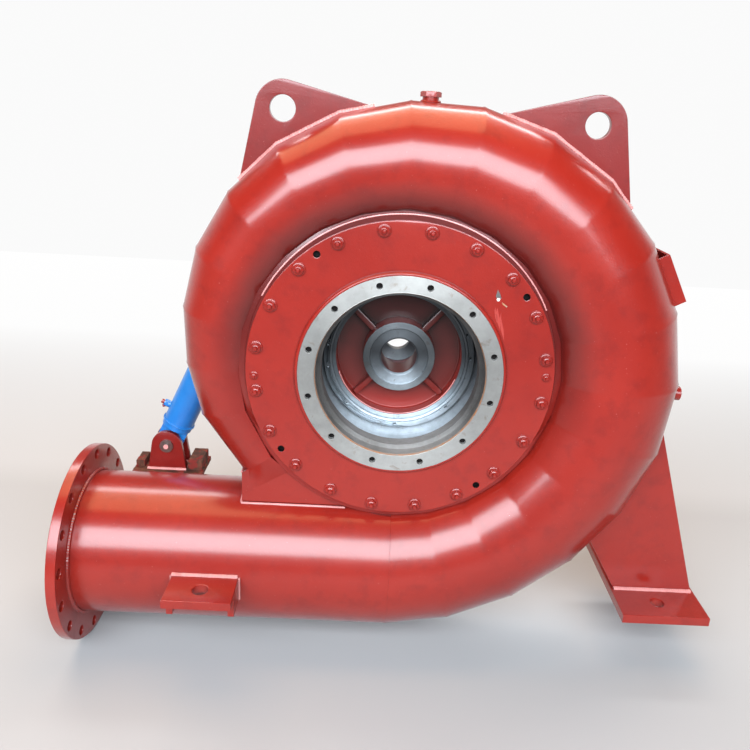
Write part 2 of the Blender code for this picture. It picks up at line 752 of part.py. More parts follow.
def eye(name, radius, distance, finish):
    return cylinder(
        name, radius, along_servo(distance, y=SERVO_Y - EYE_WIDTH / 2),
        along_servo(distance, y=SERVO_Y + EYE_WIDTH / 2), finish,
    )


def eye_bore(name, distance, radius):
    ends = along_servo(distance, y=SERVO_Y - 0.05), along_servo(distance, y=SERVO_Y + 0.05)
    return cylinder(name, radius, *ends, RED)


def servomotor():
    foot = (SERVO_PIN_X, SERVO_Y, SERVO_PIN_Z)
    barrel = turned(
        "servo_barrel",
        [
            (0, BARREL_BOTTOM + 0.020), (BARREL_BORE, BARREL_BOTTOM + 0.020), (BARREL_BORE, BARREL_TOP),
            (GLAND_BORE, BARREL_TOP), (GLAND_BORE, GLAND_TOP), (GLAND_RADIUS, GLAND_TOP),
            (GLAND_RADIUS, BARREL_TOP - 0.010), (BARREL_RADIUS, BARREL_TOP - 0.010),
            (BARREL_RADIUS, BARREL_BOTTOM), (0, BARREL_BOTTOM),
        ],
        BLUE, 24, closed=False, turn=(0, LEAN, 0), location=foot,
    )
    barrel = as_mesh(barrel)
    corner = Vector((NECK_WIDTH / 2, EYE_WIDTH / 2, BARREL_BOTTOM + 0.004))
    neck = box("barrel_neck", (-corner.x, -corner.y, 0.012), corner, BLUE)
    turn = Matrix.Translation(foot) @ Matrix.Rotation(LEAN, 4, "Y")
    neck.matrix_local = turn @ Matrix.Translation(neck.location)
    boolean(barrel, neck, "UNION")
    boolean(barrel, eye("barrel_eye", BARREL_EYE, 0, BLUE), "UNION")
    for place_along in PORT_PLACES:
        port = cylinder(
            f"port_{int(place_along * 1000)}", PORT_RADIUS, along_servo(place_along, BARREL_RADIUS - 0.006),
            along_servo(place_along, PORT_REACH), BLUE, 12,
        )
        boolean(barrel, port, "UNION")
    boolean(barrel, eye_bore("barrel_eye_cutter", 0, EYE_BORE / cos(pi / 24)), "DIFFERENCE")

    rod = turned(
        "servo_rod",
        [
            (0, SERVO_LENGTH - ROD_EYE + 0.006), (ROD_RADIUS, SERVO_LENGTH - ROD_EYE + 0.006),
            (ROD_RADIUS, PISTON_HIGH), (PISTON_RADIUS, PISTON_HIGH),
            (PISTON_RADIUS, PISTON_LOW), (0, PISTON_LOW),
        ],
        STEEL, 24, closed=False, turn=(0, LEAN, 0), location=foot,
    )
    rod = as_mesh(rod)
    boolean(rod, eye("rod_eye", ROD_EYE, SERVO_LENGTH, STEEL), "UNION")
    boolean(rod, eye_bore("rod_eye_cutter", SERVO_LENGTH, ROD_EYE_BORE / cos(pi / 24)), "DIFFERENCE")


def servo_bracket():
    box(
        "servo_base", (SERVO_BASE_LEFT, SERVO_BASE_FRONT, SERVO_BASE_Z - SERVO_BASE_THICKNESS),
        (SERVO_BASE_RIGHT, SERVO_BASE_BACK, SERVO_BASE_Z), RUST,
    )
    low = SERVO_BASE_Z + GAP
    centre = (SERVO_PIN_X, SERVO_PIN_Z)
    outline = [(SERVO_PIN_X - CHEEK_HALF_WIDTH, low), (SERVO_PIN_X + CHEEK_HALF_WIDTH, low)]
    outline += arc(centre, CHEEK_ROUND, 8, 172, 13)
    hole = circle((SERVO_PIN_RADIUS + GAP) / cos(pi / 24), centre)
    near = EYE_WIDTH / 2 + CHEEK_CLEARANCE
    far = near + CHEEK_THICKNESS
    flat("servo_cheek_front", [outline, hole], SERVO_Y - far, SERVO_Y - near, RED)
    flat("servo_cheek_rear", [outline, hole], SERVO_Y + near, SERVO_Y + far, RED)
    pin_ends = along_servo(0, y=SERVO_Y - far - 0.004), along_servo(0, y=SERVO_Y + far + 0.004)
    pin = cylinder("servo_pin", SERVO_PIN_RADIUS, *pin_ends, STEEL)
    for side in (-1, 1):
        head = cylinder(
            f"pin_head_{side + 1}", SERVO_PIN_HEAD, along_servo(0, y=SERVO_Y + side * (far + GAP)),
            along_servo(0, y=SERVO_Y + side * (far + 0.007)), STEEL,
        )
        boolean(pin, head, "UNION")
    for number, x in enumerate(SERVO_RIB_X, 1):
        rib = box(
            f"servo_rib_{number}", (x - SERVO_RIB_THICKNESS / 2, SERVO_RIB_FRONT, SERVO_RIB_LOW),
            (x + SERVO_RIB_THICKNESS / 2, SERVO_RIB_BACK, SERVO_BASE_Z - SERVO_BASE_THICKNESS - GAP), RED,
        )
        boolean(rib, pipe_cutter(f"rib_cutter_{number}", x - 0.1, x + 0.1), "DIFFERENCE")


# Plates that carry and lift the turbine

def lug(name, hole, round_radius, side_angle, top_angle):
    """A lug whose side and top edges run from the spiral's rim to a rounded corner round the hole."""
    way = 1 if hole[0] > 0 else -1
    ends = []
    for angle, turn in ((side_angle, -way), (top_angle, way)):
        x, z = rim_point(angle)
        lean = degrees(asin(round_radius / hypot(hole[0] - x, hole[1] - z)))
        ends.append(degrees(atan2(hole[1] - z, hole[0] - x)) + turn * (lean + 90))
    corner = arc(hole, round_radius, ends[0] % 360, ends[1] % 360, 9)
    outline = corner + rim_line(top_angle, side_angle)
    flat(name, [outline, circle(LUG_HOLE_RADIUS, hole)], -LUG_THICKNESS / 2, LUG_THICKNESS / 2, RED)


def lugs():
    lug("left_lifting_lug", LEFT_LUG_HOLE, LEFT_LUG_ROUND, *LEFT_LUG_ANGLES)
    lug("right_lifting_lug", RIGHT_LUG_HOLE, RIGHT_LUG_ROUND, *RIGHT_LUG_ANGLES)


def leg():
    low = LEG_BASE_TOP + GAP
    left, right = LEG_BASE_LEFT + LEG_INSET, LEG_BASE_RIGHT - LEG_INSET
    outline = [(right, low), *rim_line(*LEG_RIM_ANGLES), (left, low)]
    flat("leg_plate", [outline], -LEG_THICKNESS / 2, LEG_THICKNESS / 2, RED)
    back = LEG_THICKNESS / 2 + GAP
    toe = LEG_BASE_BACK - LEG_INSET
    gusset = [(back, low), (toe, low), (toe, low + GUSSET_TOE), (back, GUSSET_TOP)]
    across = flat("leg_gusset", [gusset], -GUSSET_THICKNESS / 2, GUSSET_THICKNESS / 2, RED)
    across.rotation_euler = (pi / 2, 0, pi / 2)
    across.location = (GUSSET_X, 0, 0)
    base = box(
        "leg_base", (LEG_BASE_LEFT, LEG_BASE_FRONT, LEG_BASE_TOP - LEG_BASE_THICKNESS),
        (LEG_BASE_RIGHT, LEG_BASE_BACK, LEG_BASE_TOP), RED,
    )
    for number, y in enumerate(LEG_HOLE_YS):
        ends = (LEG_HOLE_X, y, LEG_BASE_TOP - 0.1), (LEG_HOLE_X, y, LEG_BASE_TOP + 0.1)
        boolean(base, cylinder(f"leg_hole_{number}", LEG_HOLE_RADIUS, *ends, RED, 20), "DIFFERENCE")


def pipe_bracket(name, way):
    """A foot plate on the pipe's side, with a rib under each end."""
    near, far = sorted((way * BRACKET_ROOT, way * BRACKET_REACH))
    low = BRACKET_TOP - BRACKET_THICKNESS
    bracket = box(name, (BRACKET_LEFT, near, low), (BRACKET_RIGHT, far, BRACKET_TOP), RED)
    near, far = sorted((way * BRACKET_ROOT, way * (BRACKET_REACH - BRACKET_RIB_SETBACK)))
    for number, x in enumerate((BRACKET_LEFT, BRACKET_RIGHT - BRACKET_RIB)):
        corners = (x, near, low - BRACKET_RIB_DROP), (x + BRACKET_RIB, far, low + 0.004)
        boolean(bracket, box(f"{name}_rib_{number}", *corners, RED), "UNION")
    hole_y = way * BRACKET_HOLE_Y
    ends = (BRACKET_HOLE_X, hole_y, low - 0.02), (BRACKET_HOLE_X, hole_y, BRACKET_TOP + 0.02)
    boolean(bracket, cylinder(f"{name}_hole", BRACKET_HOLE_RADIUS, *ends, RED, 20), "DIFFERENCE")
    boolean(bracket, pipe_cutter(f"{name}_cutter", BRACKET_LEFT - 0.1, BRACKET_RIGHT + 0.1), "DIFFERENCE")


# Small fittings on the rim

def fittings():
    vent_angle = degrees(acos(VENT_X / hypot(*rim_point(87))))
    x, z = rim_point(vent_angle)
    vent = cylinder("vent_socket", VENT_RADIUS, (x, 0, z - ROOT_SINK), (x, 0, z + VENT_TOP), RED, 16)
    ends = (x, 0, z + VENT_TOP - 0.010), (x, 0, z + VENT_TOP + 0.004)
    boolean(vent, cylinder("vent_hexagon", VENT_HEXAGON, *ends, RED, 6), "UNION")
    boolean(vent, rim_cutter("vent_cutter", vent_angle), "DIFFERENCE")

    half = CHANNEL_LENGTH / 2
    corner = (CHANNEL_FACE, CHANNEL_BACK, CHANNEL_SHIFT + half)
    channel = box(
        "side_channel", (CHANNEL_FACE - CHANNEL_DEPTH, CHANNEL_FRONT, CHANNEL_SHIFT - half), corner, RED,
    )
    hollow = box(
        "channel_hollow",
        (CHANNEL_FACE - 2 * CHANNEL_DEPTH, CHANNEL_FRONT + CHANNEL_WALL, CHANNEL_SHIFT - half - 0.01),
        (CHANNEL_FACE - CHANNEL_WALL, CHANNEL_BACK - CHANNEL_WALL, CHANNEL_SHIFT + half + 0.01), RED,
    )
    turn = Matrix.Rotation(-radians(CHANNEL_LEAN), 4, "Y")
    for piece in (channel, hollow):
        piece.matrix_local = turn @ Matrix.Translation(piece.location)
    boolean(channel, hollow, "DIFFERENCE")
    boolean(channel, rim_cutter("channel_cutter", CHANNEL_ANGLE), "DIFFERENCE")

    start, end = rim_point(TAP_ANGLE, -ROOT_SINK), rim_point(TAP_ANGLE, TAP_REACH)
    tap = cylinder("pressure_tap", TAP_RADIUS, (start[0], 0, start[1]), (end[0], 0, end[1]), RED, 16)
    boolean(tap, rim_cutter("tap_cutter", TAP_ANGLE), "DIFFERENCE")


def main():
    inlet()
    for number in range(MITRES // MITRES_PER_NODE):
        volute_segment(number)
    stay_ring()
    tongue()
    covers()
    shaft_housing()
    guide_vanes()
    regulating_ring(degrees(atan2(ARM_TIP[1], ARM_TIP[0])), hypot(*ARM_TIP))
    servomotor()
    servo_bracket()
    lugs()
    leg()
    pipe_bracket("front_pipe_bracket", -1)
    pipe_bracket("rear_pipe_bracket", 1)
    fittings()


main()
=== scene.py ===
from math import acos, asin, atan2, cos, degrees, hypot, pi, radians, sin, sqrt, tan

import bmesh
import bpy
from mathutils import Matrix, Vector, noise
from mathutils.geometry import tessellate_polygon


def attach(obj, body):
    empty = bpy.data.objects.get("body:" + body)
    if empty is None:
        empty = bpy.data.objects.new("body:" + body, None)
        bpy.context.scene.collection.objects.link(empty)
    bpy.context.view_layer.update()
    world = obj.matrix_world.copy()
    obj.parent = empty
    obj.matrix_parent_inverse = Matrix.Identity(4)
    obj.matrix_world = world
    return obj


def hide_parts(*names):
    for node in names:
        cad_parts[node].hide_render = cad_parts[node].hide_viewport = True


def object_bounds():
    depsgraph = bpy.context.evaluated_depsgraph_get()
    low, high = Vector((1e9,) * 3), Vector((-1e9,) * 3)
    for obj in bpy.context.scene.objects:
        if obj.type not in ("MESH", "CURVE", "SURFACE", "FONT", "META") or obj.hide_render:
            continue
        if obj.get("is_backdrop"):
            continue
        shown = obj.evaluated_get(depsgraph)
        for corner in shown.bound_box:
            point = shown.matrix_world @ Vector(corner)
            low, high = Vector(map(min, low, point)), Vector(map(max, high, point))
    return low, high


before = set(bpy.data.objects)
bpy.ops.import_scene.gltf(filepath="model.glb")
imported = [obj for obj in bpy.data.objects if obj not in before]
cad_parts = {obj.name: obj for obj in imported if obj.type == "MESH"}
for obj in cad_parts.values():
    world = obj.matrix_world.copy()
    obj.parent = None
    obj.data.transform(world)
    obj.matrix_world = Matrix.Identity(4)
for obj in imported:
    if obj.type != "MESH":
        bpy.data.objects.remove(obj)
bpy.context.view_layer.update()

# Shapes are built in the turbine's own coordinates, in metres, with the shaft's centre at (0, 0, 0) and the front at
# -Y, then moved to SHAFT
SHAFT = Vector((-0.8175, 0.0, 0.723))
CASE, RING, BARREL, ROD = "turbine_case", "regulating_ring", "servo_barrel", "servo_rod"
FORWARDS, BACKWARDS, UP = (0, -1, 0), (0, 1, 0), (0, 0, 1)

GAP = 0.0003
ON_AXIS = 0.0005
BEAD_PITCH = 0.007
PIPE_RADIUS, PIPE_Z = 0.2032, -0.6076
WALL = 0.010
MOUTH_RADIUS, MOUTH_HALF = 0.4307, 0.100
JOINT_ANGLES = (
    -90.0, -76.3, -61.1, -45.9, -30.7, -15.5, -0.3, 14.9, 30.1, 45.3, 60.5,
    75.7, 90.9, 106.1, 121.3, 136.5, 151.7, 166.9, 182.1, 197.3, 217.5,
)
JOINT_RADII = (
    0.2032, 0.1996, 0.1952, 0.1919, 0.1902, 0.1884, 0.1862, 0.1811, 0.1749, 0.1693, 0.1637,
    0.1578, 0.1510, 0.1450, 0.1388, 0.1321, 0.1251, 0.1172, 0.1104, 0.1067, 0.1014,
)
MITRES = len(JOINT_ANGLES) - 1
SECTION_POINTS = 57
COVER_RADIUS, COVER_FACE, COVER_BACK = 0.409, 0.115, 0.0903
COVER_STUD, COVER_SPIGOT = 0.0195, 0.3597
CHANNEL_HALF = 0.050
HOUSING_RADIUS = 0.190
DRAFT_FACE, DRAFT_RADIUS, DRAFT_SLEEVE = -0.129, 0.271, 0.237
RING_OUTER = 0.268
VANES, VANE_CIRCLE, VANE_START = 12, 0.300, 15.0
PIN_CIRCLE, PIN_LEAD = 0.240, 6.0
SERVO_Y = 0.235
EYE_FRONT, EYE_BACK = SERVO_Y - 0.015, SERVO_Y + 0.015
SERVO_PIN = 0.0125
FOOT = (-0.7145, -0.389)
LEAN = radians(24.5)
SERVO_LENGTH = -(FOOT[0] * sin(LEAN) + FOOT[1] * cos(LEAN))
ARM_TIP = (FOOT[0] + SERVO_LENGTH * sin(LEAN), FOOT[1] + SERVO_LENGTH * cos(LEAN))


# Materials

class Nodes:
    """Adds shader nodes to a material or to the world."""

    def __init__(self, owner, space="Object"):
        owner.use_nodes = True
        self.owner, self.tree = owner, owner.node_tree
        self.shader = self.tree.nodes.get("Principled BSDF")
        self.place = self.new("ShaderNodeTexCoord").outputs[space]

    def link(self, source, target):
        self.tree.links.new(source, target)

    def new(self, kind, **settings):
        made = self.tree.nodes.new(kind)
        for key, value in settings.items():
            setattr(made, key, value)
        return made

    def fill(self, sockets, values):
        """Links the values that are sockets, and writes numbers and colours into theirs."""
        for socket, value in zip(sockets, values):
            if isinstance(value, bpy.types.NodeSocket):
                self.link(value, socket)
            elif value is not None:
                socket.default_value = (*value, 1) if isinstance(value, tuple) else value

    def made(self, kind, output, values, **settings):
        """An output of a new node whose first inputs are filled in."""
        node = self.new(kind, **settings)
        self.fill(node.inputs, values)
        return node.outputs[output]

    def math(self, operation, *values):
        return self.made("ShaderNodeMath", 0, values, operation=operation)

    def vector(self, *values):
        return self.made("ShaderNodeCombineXYZ", 0, values)

    def mix(self, share, first, second):
        node = self.new("ShaderNodeMix", data_type="RGBA")
        self.fill((node.inputs[0], *node.inputs[6:8]), (share, first, second))
        return node.outputs[2]

    def over(self, base, color, value, start, end, share=1.0):
        """base under a colour that rises from nothing to its share as the value goes from start to end."""
        return self.mix(self.steps(value, (start, 0.0), (end, share)), base, color)

    def blend(self, first, second, share=0.5):
        """first times share, plus second times the rest."""
        return self.math("ADD", self.math("MULTIPLY", first, share), self.math("MULTIPLY", second, 1 - share))

    def noise(self, scale, detail, rough, place=None, distort=0.0):
        node = self.new("ShaderNodeTexNoise")
        names = "Vector", "Scale", "Detail", "Roughness", "Distortion"
        self.fill([node.inputs[key] for key in names], (place or self.place, scale, detail, rough, distort))
        return node.outputs["Fac"]

    def steps(self, value, *stops):
        """A colour ramp of (place, colour or number)."""
        node = self.new("ShaderNodeValToRGB")
        self.link(value, node.inputs["Fac"])
        elements = node.color_ramp.elements
        while len(elements) < len(stops):
            elements.new(0.5)
        for element, (spot, color) in zip(elements, stops):
            element.position = spot
            element.color = (*color, 1) if isinstance(color, tuple) else (color, color, color, 1)
        return node.outputs["Color"]

    def bump(self, height, strength, distance, normal=None):
        node = self.new("ShaderNodeBump")
        self.fill([node.inputs[key] for key in ("Height", "Strength", "Distance", "Normal")],
                  (height, strength, distance, normal))
        return node.outputs["Normal"]

    def open_air(self, distance, samples):
        """1 on an open surface, and less in corners."""
        node = self.new("ShaderNodeAmbientOcclusion", samples=samples)
        node.inputs["Distance"].default_value = distance
        return node.outputs["AO"]

    def axes(self):
        node = self.new("ShaderNodeSeparateXYZ")
        self.link(self.place, node.inputs[0])
        return node.outputs[:]

    def from_shaft(self):
        """X, Y and Z from the shaft's centre, and the distance from its axis."""
        x, y, z = self.axes()
        x, z = self.math("SUBTRACT", x, SHAFT.x), self.math("SUBTRACT", z, SHAFT.z)
        squares = [self.math("MULTIPLY", value, value) for value in (x, z)]
        return x, y, z, self.math("SQRT", self.math("ADD", *squares))

    def finish(self, color=None, rough=None, normal=None, metallic=0.0, coat=0.0, specular=0.5):
        sockets = "Base Color", "Roughness", "Normal", "Metallic", "Coat Weight", "Coat Roughness", "Specular IOR Level"
        self.fill([self.shader.inputs[key] for key in sockets], (color, rough, normal, metallic, coat, 0.2, specular))
        return self.owner


def look(name):
    return Nodes(bpy.data.materials.new(name))


def red_paint(name, light, shade, thin, shadow=False, crease=0.035):
    """Satin oxide-red paint: cloudy colour, thin spots, dust, painted shade in creases and an uneven sprayed surface.
    With shadow, it also paints shade round the front cover's upper edge."""
    n = look(name)
    cloud = n.noise(2.6, 4, 0.6)
    fine = n.noise(19, 5, 0.65)
    base = n.over(shade, light, cloud, 0.35, 0.68)
    base = n.over(base, thin, fine, 0.50, 0.72, 0.5)
    base = n.over(base, (0.42, 0.19, 0.17), n.noise(260, 2, 0.5), 0.735, 0.78, 0.6)
    if shadow:
        _, _, z, radius = n.from_shaft()
        # Painted shade: darker close to the front cover's rim, on its upper part only
        painted_shade = n.steps(radius, (0.430, 0.75), (0.462, 0.50), (0.510, 0.0))
        above = n.steps(n.math("ADD", z, 0.5), (0.22, 0.0), (0.62, 1.0))
        base = n.mix(n.math("MULTIPLY", painted_shade, above), base, (0.040, 0.004, 0.004))
    # Painted shade in corners and creases, where the surroundings close in
    base = n.mix(n.steps(n.open_air(crease, 6), (0.25, 0.75), (0.75, 0.0)), base, (0.11, 0.008, 0.007))
    rough = n.steps(n.blend(cloud, fine), (0.3, 0.30), (0.7, 0.42))
    skin = n.bump(n.noise(190, 4, 0.75), 0.50, 0.0012, n.bump(n.noise(30, 4, 0.65), 0.16, 0.003))
    return n.finish(base, rough, n.bump(n.noise(9, 4, 0.6), 0.12, 0.006, skin), coat=0.9, specular=0.15)


def cavity_paint():
    """The same paint inside the housing, with painted light at its bottom and painted shade towards its corners."""
    n = look("cavity_paint_look")
    painted_shade = n.math("ADD", n.open_air(0.11, 8), n.math("MULTIPLY", n.noise(14, 4, 0.6), 0.2))
    # Painted shade: near black where the surroundings close in, lighter where open
    base = n.steps(painted_shade, (0.40, (0.015, 0.006, 0.005)), (0.75, (0.070, 0.009, 0.007)), (1.0, (0.090, 0.009, 0.007)))
    # Painted light: a lit red towards the bottom of the housing
    _, _, z, _ = n.from_shaft()
    height = n.math("ADD", z, 0.5)
    base = n.mix(n.steps(height, (0.335, 0.9), (0.40, 0.35), (0.52, 0.0)), base, (0.25, 0.024, 0.019))
    return n.finish(base, None, n.bump(n.noise(95, 4, 0.65), 0.16, 0.0016), coat=0.5, specular=0.2)


def machined_steel(name, light, shade, rust, gloss, top_shade=0.0, sheen=0.8):
    """Turned steel: fine rings round the shaft, which spread the gloss across them, cloudy stains, rust, and painted
    shade that darkens its upper part and leaves the bottom clear."""
    n = look(name)
    x, y, z, radius = n.from_shaft()
    n.link(n.vector(z, None, n.math("MULTIPLY", x, -1.0)), n.shader.inputs["Tangent"])
    n.shader.inputs["Anisotropic"].default_value = sheen
    n.shader.inputs["Anisotropic Rotation"].default_value = 0.25
    density = 900.0
    rings = n.noise(1.0, 2, 0.6, n.vector(n.math("MULTIPLY", radius, density), n.math("MULTIPLY", y, density)))
    cloud = n.noise(11, 5, 0.62)
    base = n.over(light, shade, cloud, 0.32, 0.70)
    base = n.mix(n.steps(rings, (0.35, 0.28), (0.65, 0.0)), base, shade)
    base = n.over(base, rust, n.noise(38, 4, 0.6, distort=0.6), 0.60, 0.75, 0.55)
    # Painted shade on the upper part, none at the bottom
    if top_shade:
        height = n.math("MULTIPLY_ADD", z, 2.0, 0.5)
        base = n.over(base, (0.035, 0.035, 0.037), height, 0.17, 0.52, top_shade)
    rough = n.steps(n.blend(cloud, rings, 0.6), (0.3, gloss), (0.7, gloss + 0.14))
    return n.finish(base, rough, n.bump(rings, 0.10, 0.0006), metallic=0.88)


def plain_steel(name, light, shade, gloss):
    """Turned or cut steel off the shaft's axis, with stains and scratches."""
    n = look(name)
    cloud = n.noise(45, 4, 0.6)
    scratch = n.new("ShaderNodeMapping")
    scratch.inputs["Scale"].default_value = (40, 1200, 40)
    n.link(n.place, scratch.inputs["Vector"])
    lines = n.noise(1.0, 2, 0.5, scratch.outputs[0])
    base = n.over(light, shade, cloud, 0.3, 0.7)
    rough = n.steps(n.blend(cloud, lines), (0.3, gloss), (0.7, gloss + 0.15))
    return n.finish(base, rough, n.bump(lines, 0.06, 0.0004), metallic=1.0)


def blue_paint():
    n = look("blue_paint_look")
    cloud = n.noise(8, 4, 0.6)
    chip = n.noise(60, 4, 0.6, distort=0.4)
    base = n.over((0.008, 0.130, 0.41), (0.012, 0.175, 0.49), cloud, 0.3, 0.7)
    base = n.over(base, (0.02, 0.12, 0.33), chip, 0.70, 0.76, 0.55)
    rough = n.steps(cloud, (0.3, 0.30), (0.7, 0.42))
    return n.finish(base, rough, n.bump(n.noise(130, 3, 0.6), 0.10, 0.001), coat=0.3)


def rusty_steel():
    """Old rust, with patches of red paint left on it."""
    n = look("rusty_steel_look")
    cloud = n.noise(24, 6, 0.68, distort=0.5)
    grain = n.noise(210, 4, 0.7)
    paint = n.noise(33, 4, 0.6, distort=0.4)
    base = n.steps(cloud, (0.25, (0.014, 0.007, 0.006)), (0.45, (0.060, 0.022, 0.014)),
                   (0.62, (0.140, 0.048, 0.026)), (0.8, (0.22, 0.12, 0.07)))
    base = n.over(base, (0.06, 0.026, 0.014), grain, 0.45, 0.75, 0.5)
    base = n.over(base, (0.17, 0.014, 0.010), paint, 0.50, 0.56, 0.85)
    rough = n.steps(grain, (0.3, 0.75), (0.7, 0.95))
    return n.finish(base, rough, n.bump(grain, 0.45, 0.002, n.bump(cloud, 0.4, 0.004)), specular=0.3)


def mottled(name, scale, first, second, specular):
    n = look(name)
    return n.finish(n.mix(n.noise(scale, 3, 0.6), first, second), specular=specular)


def edge_rust():
    """The orange line of new rust along a turned edge."""
    n = look("edge_rust_look")
    base = n.over((0.33, 0.15, 0.07), (0.25, 0.20, 0.17), n.noise(60, 4, 0.6), 0.40, 0.65)
    return n.finish(base, specular=0.2)


OXIDE = (0.25, 0.013, 0.007), (0.205, 0.009, 0.005), (0.150, 0.007, 0.005)
RED = red_paint("red_paint_look", *OXIDE)
# The spiral's paint: painted shade round the top of the front cover, and painted shade in tighter creases
SPIRAL = red_paint("red_spiral_look", *OXIDE, True, 0.012)
# The bolts' paint, with painted shade in the tight creases between washer, nut and stud
BOLT = red_paint("red_bolt_look", (0.24, 0.012, 0.007), (0.195, 0.009, 0.005), (0.120, 0.006, 0.004), crease=0.009)
# A darker copy of the red paint: painted shade on the lifting lugs and the servomotor's cheeks
SHADED_RED = red_paint("red_shaded_look", (0.18, 0.010, 0.008), (0.140, 0.007, 0.006), (0.090, 0.005, 0.004))
SMEAR = red_paint("red_smear_look", (0.36, 0.045, 0.035), (0.32, 0.035, 0.027), (0.28, 0.025, 0.020))
# A pale pink red for weld beads, edge beads and pin ends: a painted highlight
HIGHLIGHT_RED = red_paint("red_highlight_look", (0.62, 0.27, 0.25), (0.50, 0.19, 0.18), (0.36, 0.08, 0.07))
CAVITY = cavity_paint()
# For the hub and the bores, the number after the gloss is how much painted shade darkens their upper parts
HUB = machined_steel("turned_hub_look", (0.28, 0.305, 0.32), (0.14, 0.155, 0.165), (0.12, 0.07, 0.045), 0.40, 0.45)
FACE = machined_steel("turned_face_look", (0.42, 0.415, 0.395), (0.28, 0.275, 0.26), (0.19, 0.12, 0.08), 0.48,
                      sheen=0.5)
BORE = machined_steel("turned_bore_look", (0.66, 0.75, 0.82), (0.32, 0.36, 0.39), (0.12, 0.08, 0.05), 0.40, 0.90)
BROWN = machined_steel("shaded_bore_look", (0.32, 0.31, 0.30), (0.17, 0.16, 0.15), (0.16, 0.09, 0.05), 0.46, 0.5)
STEEL = plain_steel("cut_steel_look", (0.36, 0.36, 0.35), (0.20, 0.19, 0.18), 0.30)
CHROME = plain_steel("polished_rod_look", (0.60, 0.61, 0.63), (0.48, 0.49, 0.51), 0.10)
BLUE = blue_paint()
RUST = rusty_steel()
# Near black for the walls of holes and for discs set inside them: painted shade
HOLE_SHADE = mottled("hole_shade_look", 120, (0.010, 0.008, 0.008), (0.004, 0.003, 0.003), 0.1)
CHALK = mottled("chalk_look", 300, (0.75, 0.66, 0.62), (0.50, 0.38, 0.34), 0.2)
EDGE = edge_rust()
SLOTS = dict.fromkeys((RED, SPIRAL, BOLT, SHADED_RED, SMEAR, HIGHLIGHT_RED, CAVITY, CHALK), "red_paint")
SLOTS.update({BLUE: "blue_paint", RUST: "rusty_steel"})


# Making pieces

def add(name, data):
    made = bpy.data.objects.new(name, data)
    bpy.context.scene.collection.objects.link(made)
    return made


def mesh_from(bm, name):
    mesh = bpy.data.meshes.new(name)
    bm.to_mesh(mesh)
    bm.free()
    return mesh


def piece(name, bm, finishes, replaces=(), body=CASE, sharp=38):
    """Turns a bmesh in turbine coordinates into a piece that rides on a body."""
    finishes = finishes if isinstance(finishes, list) else [finishes]
    bmesh.ops.remove_doubles(bm, verts=bm.verts, dist=0.00001)
    bmesh.ops.recalc_face_normals(bm, faces=bm.faces)
    mesh = mesh_from(bm, name)
    mesh.transform(Matrix.Translation(SHAFT))
    for finish in finishes:
        mesh.materials.append(finish)
    mesh.shade_smooth()
    mesh.set_sharp_from_angle(angle=radians(sharp))
    made = add(name, mesh)
    made.modifiers.new("normals", "WEIGHTED_NORMAL").keep_sharp = True
    if replaces:
        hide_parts(*replaces)
    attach(made, body)
    return made


def stand_in(node, bm, finishes, body=CASE):
    """The piece that replaces one CAD node."""
    piece(f"{node}_shape", bm, finishes, [node], body)


def polar(radius, angle):
    return (radius * cos(radians(angle)), radius * sin(radians(angle)))


def spaced(radius, count, start):
    """Points at even angles round the shaft."""
    return [polar(radius, start + 360 / count * i) for i in range(count)]


def circle(radius, centre=(0, 0), sides=48):
    turns = [2 * pi * i / sides for i in range(sides)]
    return [(centre[0] + radius * cos(turn), centre[1] + radius * sin(turn)) for turn in turns]


def rectangle(left, right, low, high):
    return [(left, low), (right, low), (right, high), (left, high)]


def hoop(centre, radius, one, two, points=40):
    """A circle in space, in the plane of two directions."""
    centre, one, two = Vector(centre), Vector(one), Vector(two)
    turns = [2 * pi * i / points for i in range(points)]
    return [centre + (one * cos(turn) + two * sin(turn)) * radius for turn in turns]


def arc(centre, radius, start, end, points):
    spots = [polar(radius, start + (end - start) * i / (points - 1)) for i in range(points)]
    return [(centre[0] + x, centre[1] + z) for x, z in spots]


def softened(profile, size):
    """Each corner of a closed outline turned into a small curve."""
    points = []
    for i, here in enumerate(profile):
        here = Vector(here)
        a, b = Vector(profile[i - 1]) - here, Vector(profile[(i + 1) % len(profile)]) - here
        cut = min(size, 0.42 * a.length, 0.42 * b.length)
        if here.x < ON_AXIS or abs(a.normalized().cross(b.normalized())) < 0.12:
            points.append(tuple(here))
            continue
        start, end = here + a.normalized() * cut, here + b.normalized() * cut
        points += [tuple(start * (1 - t) ** 2 + here * 2 * t * (1 - t) + end * t**2) for t in (0.0, 0.33, 0.67, 1.0)]
    return points


def lathe(bm, profile, steps=144, soft=0.0015, axis="Y", centre=(0, 0, 0)):
    """A closed profile of (radius, distance along the axis) turned about an axis."""
    profile = softened(profile, soft) if soft else profile
    rings = []
    for i in range(steps):
        angle = 2 * pi * i / steps
        ring = []
        for radius, along_axis in profile:
            u, v = radius * cos(angle), radius * sin(angle)
            spot = {"Y": (u, along_axis, v), "X": (along_axis, u, v), "Z": (u, v, along_axis)}[axis]
            ring.append(bm.verts.new(Vector(spot) + Vector(centre)))
        rings.append(ring)
    for near, far in zip(rings, rings[1:] + rings[:1]):
        for j in range(len(profile)):
            k = (j + 1) % len(profile)
            turning = [profile[end][0] >= ON_AXIS for end in (k, j)]
            if any(turning):
                bm.faces.new([near[j], near[k], *([far[k]] * turning[0]), *([far[j]] * turning[1])])


